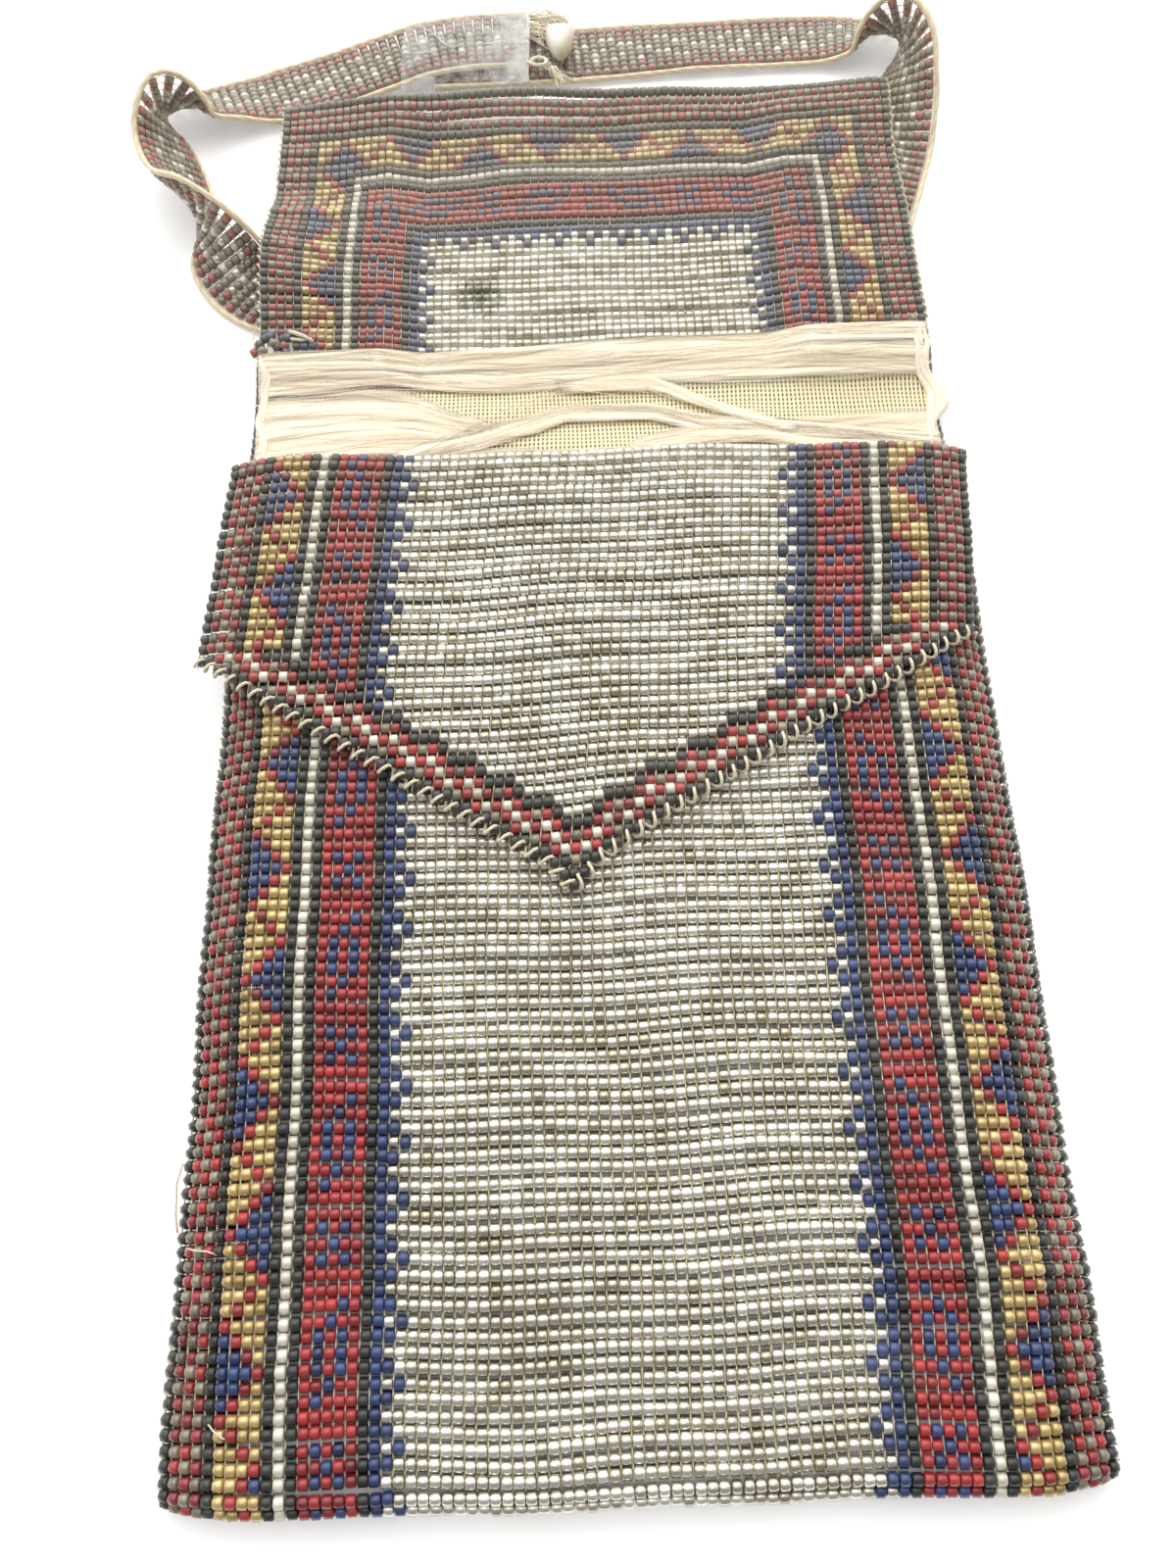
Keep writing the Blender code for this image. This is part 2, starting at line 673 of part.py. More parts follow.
def knot(material):
    """A round knot of wrapped thread on the right half, beside the left half's torn end."""
    below, after = (route_place(point) for point in RIGHT_ROUTE[1:3])
    x = route_place(LEFT_ROUTE[0]).x + KNOT_APART + KNOT_LENGTH / 2
    y = (below.y + after.y) / 2
    z = below.z + BEAD + GAP + KNOT_HEIGHT / 2
    bpy.ops.mesh.primitive_uv_sphere_add(segments=14, ring_count=8, radius=0.5, location=(x, y, z))
    ball = bpy.context.object
    ball.name = "joint_knot"
    ball.scale = (KNOT_LENGTH, KNOT_WIDTH, KNOT_HEIGHT)
    bpy.ops.object.transform_apply(location=False, rotation=False, scale=True)
    ball.data.shade_smooth()
    ball.data.materials.append(material)
    move_to_parts(ball)
    return ball


def move_to_parts(thing):
    for group in list(thing.users_collection):
        group.objects.unlink(thing)
    parts.objects.link(thing)


def seam_cords(material):
    """The cords that sew the front's edges to the back's, one at each side of the pouch."""
    x = HALF_WIDTH + GAP + SEAM_CORD / 2
    level = BACK_LEVEL + LAYER / 2
    for side, name in ((-1, "left_seam_cord"), (1, "right_seam_cord")):
        points = [(side * x, y, level) for y in (-MOUTH, 0.0, MOUTH - SEAM_FREE)]
        cord_object(name, points, SEAM_CORD, material)


def leaf_cords(material):
    """The cords along the leaf's two long edges, from the lining to the leaf's end."""
    start = max(MOUTH + LINING_REACH + 2 * LINING_LEAN, MOUTH + (TORN_ROWS.stop + 0.5) * LEAF_ROW_PITCH)
    for side, name in ((-1, "left_leaf_cord"), (1, "right_leaf_cord")):
        points = []
        for step in range(LEAF_CORD_STEPS + 1):
            y = start + (LEAF_END - start) * step / LEAF_CORD_STEPS
            half = leaf_half(y)
            points.append((side * (half + GAP + EDGE_CORD / 2), y, leaf_height(side * half, y)))
        cord_object(name, points, EDGE_CORD, material)


def flap_cord(material):
    """The cord along the flap's two slanting edges, round its point."""
    clear = GAP + EDGE_CORD / 2
    slope = math.atan2(ROW_PITCH, POINT_STEP * COLUMN_PITCH)
    side = []
    for row in reversed(range(1, POINT_ROWS)):
        if row % FLAP_CORD_ROWS == 1:
            y = MOUTH - (FLAP_ROWS - row - 0.5) * ROW_PITCH
            side.append((point_half(row), y))
    side.append((point_half(0), MOUTH - FLAP_ROWS * ROW_PITCH))
    points = []
    for sign, places in ((-1, side), (1, reversed(side))):
        for half, y in places:
            x = sign * (half + clear * math.sin(slope))
            place = flap_shift(x, y - clear * math.cos(slope))
            points.append((place[0], place[1], flap_height(half, y)))
    cord_object("flap_edge_cord", points, EDGE_CORD, material)


for thing in list(bpy.data.objects):
    bpy.data.objects.remove(thing, do_unlink=True)

parts = bpy.data.collections.new("beaded_evening_purse")
bpy.context.scene.collection.children.link(parts)

beadwork = banded_material("beadwork", BORDER, COLUMNS)
strap_beads = banded_material("strap beadwork", STRAP_BORDER, COLUMNS)
cotton = new_material("cotton cord", (0.78, 0.60, 0.35), 0.8, 0.0)
thread = new_material("warp thread", (0.58, 0.44, 0.24), 0.8, 0.0)
gauze = new_material("gauze", (0.86, 0.71, 0.40), 0.85, 0.0)
silk = new_material("silk", (0.80, 0.72, 0.57), 0.45, 0.0)
clear_film = new_material("clear tape", (0.75, 0.75, 0.78), 0.12, 0.0, 0.45)
wrapping = new_material("knot thread", (0.72, 0.66, 0.54), 0.5, 0.0)

sheet_object("loomed_strip", strip_lines(), BEAD, GROOVE / BEAD, beadwork, (COLUMNS, COLUMN_PITCH))
gauze_net, net_openings = gauze_lines()
silk_sheet, silk_tears = silk_lines()
sheet_object("gauze_interlining", gauze_net, CLOTH, 1.0, gauze, openings=net_openings)
sheet_object("silk_lining", silk_sheet, CLOTH, 1.0, silk, openings=silk_tears)
strap_half("left_strap", LEFT_ROUTE, 1, strap_beads, cotton)
strap_half("right_strap", RIGHT_ROUTE, -1, strap_beads, cotton)
repair_tape(clear_film)
knot(wrapping)
seam_cords(thread)
leaf_cords(thread)
flap_cord(thread)
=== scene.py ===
# %% [markdown]
# # A loom-woven beaded purse
# The real purse is one long strip of beads woven on a loom, 81 columns wide and folded so that it makes a
# leaf, a back, a front and a pointed flap. This lesson starts from the solid model, which has the right size
# and folds, and replaces each smooth solid by what the eye sees: thousands of beads, the threads that carry
# them, worn silk over a gauze net, twisted cotton cords, a knot and a piece of clear tape.

# %% Start from the solid model
import math

import bpy
import numpy as np
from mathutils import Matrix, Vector


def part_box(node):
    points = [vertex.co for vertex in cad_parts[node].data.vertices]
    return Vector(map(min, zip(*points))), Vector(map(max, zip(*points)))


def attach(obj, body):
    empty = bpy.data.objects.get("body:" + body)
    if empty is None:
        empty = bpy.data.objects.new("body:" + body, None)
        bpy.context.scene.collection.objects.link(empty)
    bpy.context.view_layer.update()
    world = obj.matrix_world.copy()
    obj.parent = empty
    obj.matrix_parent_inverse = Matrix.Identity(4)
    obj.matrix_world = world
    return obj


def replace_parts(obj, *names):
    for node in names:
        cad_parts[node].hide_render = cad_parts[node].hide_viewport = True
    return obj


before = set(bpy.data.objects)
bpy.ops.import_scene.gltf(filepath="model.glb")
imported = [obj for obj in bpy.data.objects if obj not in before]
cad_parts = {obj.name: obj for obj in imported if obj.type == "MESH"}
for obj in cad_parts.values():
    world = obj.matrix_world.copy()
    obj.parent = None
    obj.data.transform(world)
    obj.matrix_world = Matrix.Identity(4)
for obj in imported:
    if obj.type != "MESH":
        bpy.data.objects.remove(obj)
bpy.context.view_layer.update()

MM = 0.001
chance = np.random.default_rng(81)

# %% [markdown]
# ## The camera
# The photographer stood at the bottom of the purse and looked steeply down, about 69 degrees below the
# horizon, with a wide lens held close. That is why the leaf at the far end looks narrower than the pouch.
# The place and the direction were worked out from the purse's own rows and columns of beads.

# %% Place the camera
LOOK_DOWN = math.radians(69.3)
LOOK_TURN = math.radians(1.76)
bpy.ops.object.camera_add(
    location=(-6.3 * MM, -50.8 * MM, 195.6 * MM),
    rotation=(math.pi / 2 - LOOK_DOWN, 0.0, -LOOK_TURN),
)
camera = bpy.context.object
camera.data.sensor_width = 36.0
camera.data.lens = 27.675
camera.data.clip_start = 0.01
bpy.context.scene.camera = camera
print("camera lens in mm:", camera.data.lens)

# %% [markdown]
# ## Sizes shared with the solid model
# Everything that follows is placed by the weave's own numbers: how far apart the columns and the rows lie,
# and how many rows each panel has. They are the same numbers that the solids were made from.

# %% The weave's numbers
COLUMNS = 81
COLUMN_PITCH = 1.655 * MM
ROW_PITCH = 2.03 * MM
BEAD = 1.9 * MM
POUCH_ROWS = 81
FLAP_ROWS = 40
POINT_ROWS = 22
LEAF_ROWS = 52
LEAF_ROW_PITCH = 1.93 * MM
LEAF_END_HALF = 65.1 * MM
HALF_WIDTH = COLUMNS * COLUMN_PITCH / 2
MOUTH = POUCH_ROWS * ROW_PITCH / 2
LEAF_LENGTH = LEAF_ROWS * LEAF_ROW_PITCH
LEAF_END = MOUTH + LEAF_LENGTH
LAYER = 2.2 * MM
BACK_LEVEL = 0.95 * MM
FRONT_LEVEL = 9.65 * MM
BOTTOM_LEVEL = 6.6 * MM
SEAM_LEVEL = BACK_LEVEL + LAYER
GAUZE_OFFSET = 1.35 * MM
SILK_OFFSET = 1.85 * MM
print("pouch in mm:", round(2 * HALF_WIDTH / MM, 1), "by", round(2 * MOUTH / MM, 1))

# %% [markdown]
# ## How each panel lies
# A panel is a surface: for each place across and along the strip there is one height. The pouch is full in
# its middle and low at its seams, the flap lies one layer above it and has swung a little to the left, and
# the leaf is lifted at its sides where the ends of the strap lie under it. The leaf's last rows rise off the
# table, and its left side has slipped a few millimetres towards the mouth. Numpy works on all the beads of a
# panel at once, so these functions take whole lists of places.

# %% Heights of the panels
def ease(share):
    share = np.clip(share, 0.0, 1.0)
    return share * share * (3.0 - 2.0 * share)


def side_share(x):
    """0 in the pouch's middle, growing to 1 at its seams over the last 10 mm."""
    run = (np.abs(x) - HALF_WIDTH + 10 * MM) / (10 * MM)
    return np.interp(run, (0.0, 2 / 3, 1.0), (0.0, 0.45, 1.0))


def front_height(x, y):
    level = BOTTOM_LEVEL + (FRONT_LEVEL - BOTTOM_LEVEL) * ease((y + MOUTH) / (34 * MM))
    drop = (level - SEAM_LEVEL) * (1.0 - ease((y - MOUTH + 13 * MM) / (13 * MM)))
    return level - drop * side_share(x)


def flap_height(x, y):
    return front_height(np.zeros_like(x), y) + LAYER - 0.35 * (FRONT_LEVEL - SEAM_LEVEL) * side_share(x)


def leaf_height(x, y):
    reach = y - MOUTH
    back = LEAF_LENGTH - reach
    step = LAYER * ease((reach - 20 * MM) / (10 * MM)) * np.clip((np.abs(x) - 34 * MM) / (8 * MM), 0, 1)
    far = np.clip((np.abs(x) - 42 * MM) / (HALF_WIDTH - 42 * MM), 0, 1)
    left = 4.4 * MM * ease(1.0 - np.abs(back / LEAF_END_HALF - 0.666) / 0.338)
    right = 2.6 * MM * ease((0.343 - back / LEAF_END_HALF) / 0.307)
    return BACK_LEVEL + step + far * np.where(x < 0, left, right)


END_X = np.array([-65, -52, -40, -26, -9.5, 5.4, 23.5, 43, 52, 62, 65]) * MM
END_RISE = np.array([2.2, 2.5, 3.2, 4.2, 4.2, 3.4, 2.9, 3.4, 3.8, 5.0, 4.8]) * MM
END_PULL = np.array([-1.9, -0.9, -0.2, 0, 0, 0, 0, 0, 0, 0, 0]) * MM
SLIP_REACH = np.array([30, 48, 66, 81, 92, 101]) * MM
SLIP = np.array([0, -1.6, -3.6, -3.2, -1.9, -0.4]) * MM


def leaf_end_share(y):
    """0 over most of the leaf, growing to 1 over its last 12 mm, where it rises off the table."""
    return np.clip(1.0 - (LEAF_END - y) / (12 * MM), 0.0, 1.2) ** 1.3


def leaf_slip(wide, y):
    """How far the leaf's left side has slipped along the strip, growing from 18 mm left of the middle."""
    return np.clip((-18 * MM - wide) / (35 * MM), 0, 1) * np.interp(y - MOUTH, SLIP_REACH, SLIP)


def leaf_width_share(y):
    return 1.0 + (LEAF_END_HALF / HALF_WIDTH - 1.0) * (y - MOUTH) / LEAF_LENGTH


print("front's height in mm at its middle:", round(float(front_height(np.zeros(1), np.zeros(1))[0]) / MM, 2))


# %% [markdown]
# A loomed panel is never perfectly even. Each row has settled a little, and the small differences run on
# from bead to bead. A few slow waves, added to every place on the strip, give that: the beads, the threads
# between them and the cords at the edge all take the same shift, so that they stay together.

# %% The weave's slow unevenness
def settle(points, amount=1.0):
    x, y = points[:, 0] / MM, points[:, 1] / MM
    shift = np.zeros_like(points)
    shift[:, 1] = 0.34 * np.sin(x / 13 + 0.9 * np.sin(y / 31)) + 0.22 * np.sin(x / 5.3 + y / 17)
    shift[:, 0] = 0.20 * np.sin(y / 11 + x / 40) + 0.12 * np.sin(y / 4.7 + 1.3)
    shift[:, 2] = 0.10 * np.sin(x / 9 + y / 21) * np.sin(y / 7.5)
    shift[:, 2] += 0.14 * np.sin(y * 1.1 + 1.8 * np.sin(x / 23 + y / 9))
    return points + shift * (MM * amount)


def on_back(x, y):
    return settle(np.column_stack([x, y, np.full_like(x, BACK_LEVEL)]), 0.6)


def on_front(x, y):
    return settle(np.column_stack([x, y, front_height(x, y)]))


FLAP_SWING = 0.088
FLAP_TURN = 0.026


def on_flap(x, y):
    down = MOUTH - y
    turn = FLAP_TURN * down / (POINT_ROWS * ROW_PITCH)
    return settle(np.column_stack([x - FLAP_SWING * down, y + turn * x, flap_height(x, y)]))


def on_leaf(x, y):
    wide = x * leaf_width_share(y)
    share = leaf_end_share(y)
    slip = leaf_slip(wide, y)
    lying = leaf_height(wide, y) + 0.45 * slip * ease((y - MOUTH - 70 * MM) / (6 * MM))
    risen = BACK_LEVEL + np.interp(wide, END_X, END_RISE)
    pull = np.interp(wide, END_X, END_PULL) * share
    return settle(np.column_stack([wide, y + slip + pull, lying * (1 - share) + risen * share]))


def on_bottom_fold(x, angle):
    radius = (front_height(x, np.full_like(x, -MOUTH)) - BACK_LEVEL) / 2
    place = np.column_stack([x, -MOUTH - radius * np.sin(angle), BACK_LEVEL + radius * (1 - np.cos(angle))])
    return settle(place, 0.6)


def on_mouth_fold(x, angle):
    edge = np.full_like(x, MOUTH)
    low = front_height(x, edge)
    radius = (flap_height(x, edge) - low) / 2
    place = np.column_stack([x, MOUTH + radius * np.sin(angle), low + radius * (1 - np.cos(angle))])
    return settle(place)


print("a settled place on the flap in mm:", np.round(on_flap(np.zeros(1), np.full(1, MOUTH / 2)) / MM, 2))

# %% [markdown]
# ## The pattern
# The pattern is a traditional one of squares: checks, triangles and small crosses in bands along each edge,
# round a plain field. A letter stands for each colour of bead. The bands are the same on both sides, so the
# pattern is written for the columns counted in from the nearer edge, and for the rows counted up.

# %% Letters of the pattern's bands
# k black, r red, g smoke, b blue, y gold, w white, s silver
def triangle_band(row, column):
    """The gold band of columns 6 to 9, with a red zigzag and blue triangles beside every third turn."""
    step = (row - 4) % 6
    red = 6 + min(step, 6 - step)
    if column == red:
        return "r"
    if column < red and abs((row + 2) % 18 - 9) <= 2:
        return "b"
    if column > red and abs((row - 7) % 18 - 9) <= 2:
        return "b"
    return "y"


CROSSES = {0: (14, 16), 1: (15,), 2: (14, 16), 5: (14,), 6: (15,), 7: (14, 16), 8: (14, 16), 9: (14, 16),
           10: (15,), 11: (16,)}


def border_bead(row, column, cross_row=None):
    """The bead of a straight border: column counts from 1 at the edge."""
    if column in (1, 5, 10, 12, 18):
        return "k"
    if column <= 4:
        return "r" if (row + column) % 2 else "g"
    if column <= 9:
        return triangle_band(row, column)
    if column == 11:
        return "w"
    if column <= 17:
        return "b" if column in CROSSES.get((row if cross_row is None else cross_row) % 14, ()) else "r"
    if column == 19 or (column == 20 and row % 2) or (column == 21 and row % 4 == 2):
        return "b"
    return "s"


def edge_count(column):
    return min(column, COLUMNS - 1 - column) + 1


def front_bead(row, column):
    return border_bead(row, edge_count(column))


for row in (8, 7, 6):
    print("".join(front_bead(row, column) for column in range(COLUMNS)))

# %% [markdown]
# The flap narrows to a point by two columns on each side in each row. Along both slanting edges runs a band
# of its own, and inside it the straight bands go on as on the front. The leaf's end has the same bands
# turned round its two corners like a picture frame.

# %% Letters of the flap and the leaf
def flap_columns(row):
    if row >= POINT_ROWS:
        return COLUMNS
    return (1, 3)[row] if row < 2 else min(COLUMNS, 4 * (row - 1) + 1)


def flap_bead(row, column):
    columns = flap_columns(row)
    side = (COLUMNS - columns) // 2
    inward = min(column - side, COLUMNS - 1 - side - column)
    if row < 2:
        return "k"
    if row == 2:
        return "kkg"[inward]
    if row < POINT_ROWS:
        band = "kkrwrwrkkk" if row % 2 else "kkgrwrgrk"
        if inward < len(band):
            return band[inward]
    return border_bead(43 - row, edge_count(column), 30 - row)


def leaf_bead(row, column):
    side, end = edge_count(column), LEAF_ROWS - row
    if side <= end:
        plain = border_bead(row + 9, side, row + 1)
    else:
        plain = border_bead(abs(column - COLUMNS // 2) + 2, end)
    from_corner = abs(side - 9) + abs(end - 9)
    if 6 <= side <= 11 and 6 <= end <= 11 and from_corner <= 2:
        return "b"
    if 6 <= side <= 9 and 6 <= end <= 12 or 6 <= end <= 9 and 6 <= side <= 12:
        return "r" if from_corner == 3 else ("y" if max(side, end) <= 9 else plain)
    return plain


for row in (23, 12, 3):
    print("".join(flap_bead(row, c) if abs(c - 40) * 2 < flap_columns(row) else "." for c in range(COLUMNS)))

# %% [markdown]
# ## Shader maths as plain Python
# A finish is a set of nodes. Written out one by one they are long and hard to read, so a socket is wrapped in
# a small class that knows what +, -, * and / mean, and one method makes any other node from its type, its
# settings and its inputs.

# %% A socket that can be added and multiplied
class Wire:
    def __init__(self, tree, socket):
        self.tree = tree
        self.socket = socket

    def maths(self, operation, *values):
        return Finish.node(self.tree, "ShaderNodeMath", {"operation": operation}, dict(enumerate(values)))

    def __add__(self, other):
        return self.maths("ADD", self, other)

    def __radd__(self, other):
        return self.maths("ADD", other, self)

    def __sub__(self, other):
        return self.maths("SUBTRACT", self, other)

    def __rsub__(self, other):
        return self.maths("SUBTRACT", other, self)

    def __mul__(self, other):
        return self.maths("MULTIPLY", self, other)

    def __rmul__(self, other):
        return self.maths("MULTIPLY", other, self)

    def __truediv__(self, other):
        return self.maths("DIVIDE", self, other)

    def power(self, exponent):
        return self.maths("POWER", self, exponent)

    def sine(self):
        return self.maths("SINE", self)

    def clamped(self):
        return Finish.node(self.tree, "ShaderNodeClamp", {}, {0: self})


class Finish:
    """A material with one Principled shader, and a short way to add nodes to it."""

    def __init__(self, name, **sockets):
        self.material = bpy.data.materials.new(name)
        self.material.use_nodes = True
        self.tree = self.material.node_tree
        self.shader = self.tree.nodes["Principled BSDF"]
        for socket, value in sockets.items():
            self.shader.inputs[socket.replace("_", " ")].default_value = value

    @staticmethod
    def node(tree, kind, settings, inputs, output=0):
        made = tree.nodes.new(kind)
        for setting, value in settings.items():
            setattr(made, setting, value)
        for place, value in inputs.items():
            if isinstance(value, Wire):
                tree.links.new(value.socket, made.inputs[place])
            else:
                made.inputs[place].default_value = value
        return Wire(tree, made.outputs[output])

    def add(self, kind, settings=None, inputs=None, output=0):
        return Finish.node(self.tree, kind, settings or {}, inputs or {}, output)

    def places(self):
        return self.add("ShaderNodeTexCoord", output="Object")

    def part(self, axis, where=None):
        """One of the three numbers of a place: 0 for x, 1 for y, 2 for z."""
        return self.add("ShaderNodeSeparateXYZ", {}, {0: where or self.places()}, axis)

    def noise(self, scale, detail=2.0, where=None):
        return self.add("ShaderNodeTexNoise", {}, {"Vector": where or self.places(), "Scale": scale,
                                                    "Detail": detail}, "Fac")

    def value(self, name):
        return self.add("ShaderNodeAttribute", {"attribute_name": name}, {}, "Fac")

    def blend(self, share, first, second):
        return self.add("ShaderNodeMix", {"data_type": "RGBA"}, {0: share, 6: first, 7: second}, 2)

    def bump(self, height, strength, distance):
        return self.add("ShaderNodeBump", {}, {"Height": height, "Strength": strength, "Distance": distance})

    def to(self, socket, wire):
        self.tree.links.new(wire.socket, self.shader.inputs[socket])
        return self


def colour(red, green, blue):
    """A colour written as the usual 0 to 255 numbers, turned into the linear numbers that shaders use."""
    channels = [value / 255 for value in (red, green, blue)]
    return (*[c / 12.92 if c <= 0.04045 else ((c + 0.055) / 1.055) ** 2.4 for c in channels], 1.0)


print("mid grey in linear numbers:", [round(c, 3) for c in colour(128, 128, 128)])

# %% [markdown]
# ## Finishes of the beads
# The silver beads have a metal skin inside clear glass. Some have gone golden or dull, so each bead carries a
# number of its own, named tint, that moves its colour and its gloss. The red, blue and black beads are plain
# glass: their gloss is a clear coat over a deep colour. A slow noise over the whole purse adds the film that
# handling leaves. Towards the leaf's end a painted glare pales the colour and dulls the metal and the coat:
# painted light, as of light washing over that end, not a haze on the beads. The leaf's silver field carries
# one small green stain.

# %% Make the bead finishes
# Painted glare: where it starts, how far it grows towards the leaf's end, and the pale colour it paints.
GLARE_START = 60 * MM
GLARE_LENGTH = 240 * MM
PAINTED_GLARE_COLOUR = colour(194, 187, 172)
STAIN_PLACE = (-22.7 * MM, 129.5 * MM, 2.0 * MM)
STAIN_RADIUS = 4.2 * MM
STAIN_COLOUR = colour(84, 92, 50)


def bead_finish(name, dark, light, metallic, roughness, coat=0.0):
    finish = Finish(f"{name} beads", Coat_Roughness=0.12)
    tint = finish.value("tint")
    handling = finish.noise(38.0, 3.0)
    base = finish.blend(tint, dark, light)
    # Painted glare growing towards the leaf's end, added below to the real handling film: painted light that
    # pales the colour and dulls the gloss.
    painted_glare = ((finish.part(1) + GLARE_START) / GLARE_LENGTH).clamped().power(2.0) * 0.45
    base = finish.blend(((handling - 0.52) * 1.1).clamped() * 0.25 + painted_glare, base, PAINTED_GLARE_COLOUR)
    if name == "silver":
        offset = finish.add("ShaderNodeVectorMath", {"operation": "DISTANCE"},
                            {0: finish.places(), 1: STAIN_PLACE}, "Value")
        stain = (1.3 - offset / STAIN_RADIUS + (finish.noise(700.0) - 0.5) * 2.2).clamped() * 0.75
        base = finish.blend(stain, base, STAIN_COLOUR)
    finish.to("Base Color", base)
    finish.to("Roughness", roughness + tint * 0.14 + handling * 0.10 + painted_glare * 0.3)
    finish.to("Metallic", metallic - painted_glare * metallic)
    finish.to("Coat Weight", coat - painted_glare * coat)
    return finish.material


BEAD_FINISHES = {
    "k": bead_finish("black", colour(26, 28, 28), colour(56, 57, 55), 0.0, 0.26, 0.35),
    "r": bead_finish("red", colour(104, 20, 26), colour(184, 54, 55), 0.0, 0.18, 0.55),
    "g": bead_finish("smoke", colour(92, 84, 74), colour(160, 150, 132), 0.35, 0.22, 0.40),
    "b": bead_finish("blue", colour(24, 34, 72), colour(54, 74, 124), 0.0, 0.18, 0.50),
    "y": bead_finish("gold", colour(160, 134, 84), colour(226, 202, 144), 0.55, 0.16, 0.40),
    "w": bead_finish("white", colour(186, 179, 162), colour(242, 237, 222), 0.20, 0.18, 0.50),
    "s": bead_finish("silver", colour(184, 175, 152), colour(252, 250, 242), 0.92, 0.10),
}
print("bead finishes:", ", ".join(material.name for material in BEAD_FINISHES.values()))

# %% [markdown]
# ## One bead
# A seed bead is a short tube with rounded ends, and its hole runs along the row. It is modelled once, as a
# cylinder one unit long whose two ends are inset and raised. The purse has about twenty thousand, so the bead
# has only seven sides; the ones on the back, which lies on the table, have six sides and plain ends.

# %% Model the bead
def tidy_selection():
    bpy.ops.object.select_all(action="DESELECT")


def pick_faces(piece, wanted):
    """Select only the faces that pass a test, so that the next edit-mode operator acts on them alone."""
    bpy.context.tool_settings.mesh_select_mode = (False, False, True)
    for part in (*piece.data.vertices, *piece.data.edges):
        part.select = False
    for face in piece.data.polygons:
        face.select = wanted(face)


def model_bead(name, sides, rounded):
    tidy_selection()
    bpy.ops.mesh.primitive_cylinder_add(vertices=sides, radius=0.5, depth=0.74 if rounded else 0.94,
                                        rotation=(0.0, math.pi / 2, 0.0))
    bead = bpy.context.object
    bead.name = name
    bpy.ops.object.transform_apply()
    if rounded:
        pick_faces(bead, lambda face: abs(face.normal.x) > 0.9)
        bpy.ops.object.mode_set(mode="EDIT")
        bpy.ops.mesh.inset(thickness=0.13, depth=0.13, use_individual=True)
        bpy.ops.object.mode_set(mode="OBJECT")
    points = np.array([v.co for v in bead.data.vertices])
    faces = [tuple(face.vertices) for face in bead.data.polygons]
    bpy.data.objects.remove(bead)
    return points, faces


ROUND_BEAD = model_bead("round bead", 7, True)
PLAIN_BEAD = model_bead("plain bead", 6, False)
print("faces of the round bead:", len(ROUND_BEAD[1]), "and of the plain one:", len(PLAIN_BEAD[1]))

# %% [markdown]
# ## Copying a bead to its places
# Numpy multiplies the bead's points by the direction of the row and of the column at each place, so that all
# the beads of a panel come as one mesh. Each bead gets a tint of its own and a small square of the texture
# map, so that a baked picture of the purse keeps its beads crisp.

# %% Copy beads into a mesh
def unit(vectors):
    return vectors / np.linalg.norm(vectors, axis=1, keepdims=True)


def mesh_piece(name, points, faces_flat, corner_counts):
    mesh = bpy.data.meshes.new(name)
    mesh.vertices.add(len(points))
    mesh.vertices.foreach_set("co", np.asarray(points, np.float32).ravel())
    mesh.loops.add(len(faces_flat))
    mesh.loops.foreach_set("vertex_index", np.asarray(faces_flat, np.int32))
    mesh.polygons.add(len(corner_counts))
    starts = np.concatenate([[0], np.cumsum(corner_counts)[:-1]])
    mesh.polygons.foreach_set("loop_start", starts.astype(np.int32))
    mesh.update(calc_edges=True)
    piece = bpy.data.objects.new(name, mesh)
    bpy.context.scene.collection.objects.link(piece)
    return piece


def corner_map(points, faces):
    """A flat map of one bead: its side unrolled above, its two ends as small discs below."""
    places = []
    for face in faces:
        middle = points[list(face)].mean(axis=0)
        for corner in face:
            x, y, z = points[corner]
            if abs(middle[1]) + abs(middle[2]) < 1e-4:
                places.append((0.25 + 0.5 * (x > 0) + 0.2 * y, 0.13 + 0.2 * z))
                continue
            centre = math.atan2(middle[2], middle[1])
            turn = (math.atan2(z, y) - centre + math.pi) % (2 * math.pi) - math.pi
            places.append(((centre + turn) / (2 * math.pi) * 0.78 + 0.5, 0.64 + 0.64 * x))
    return np.array(places)


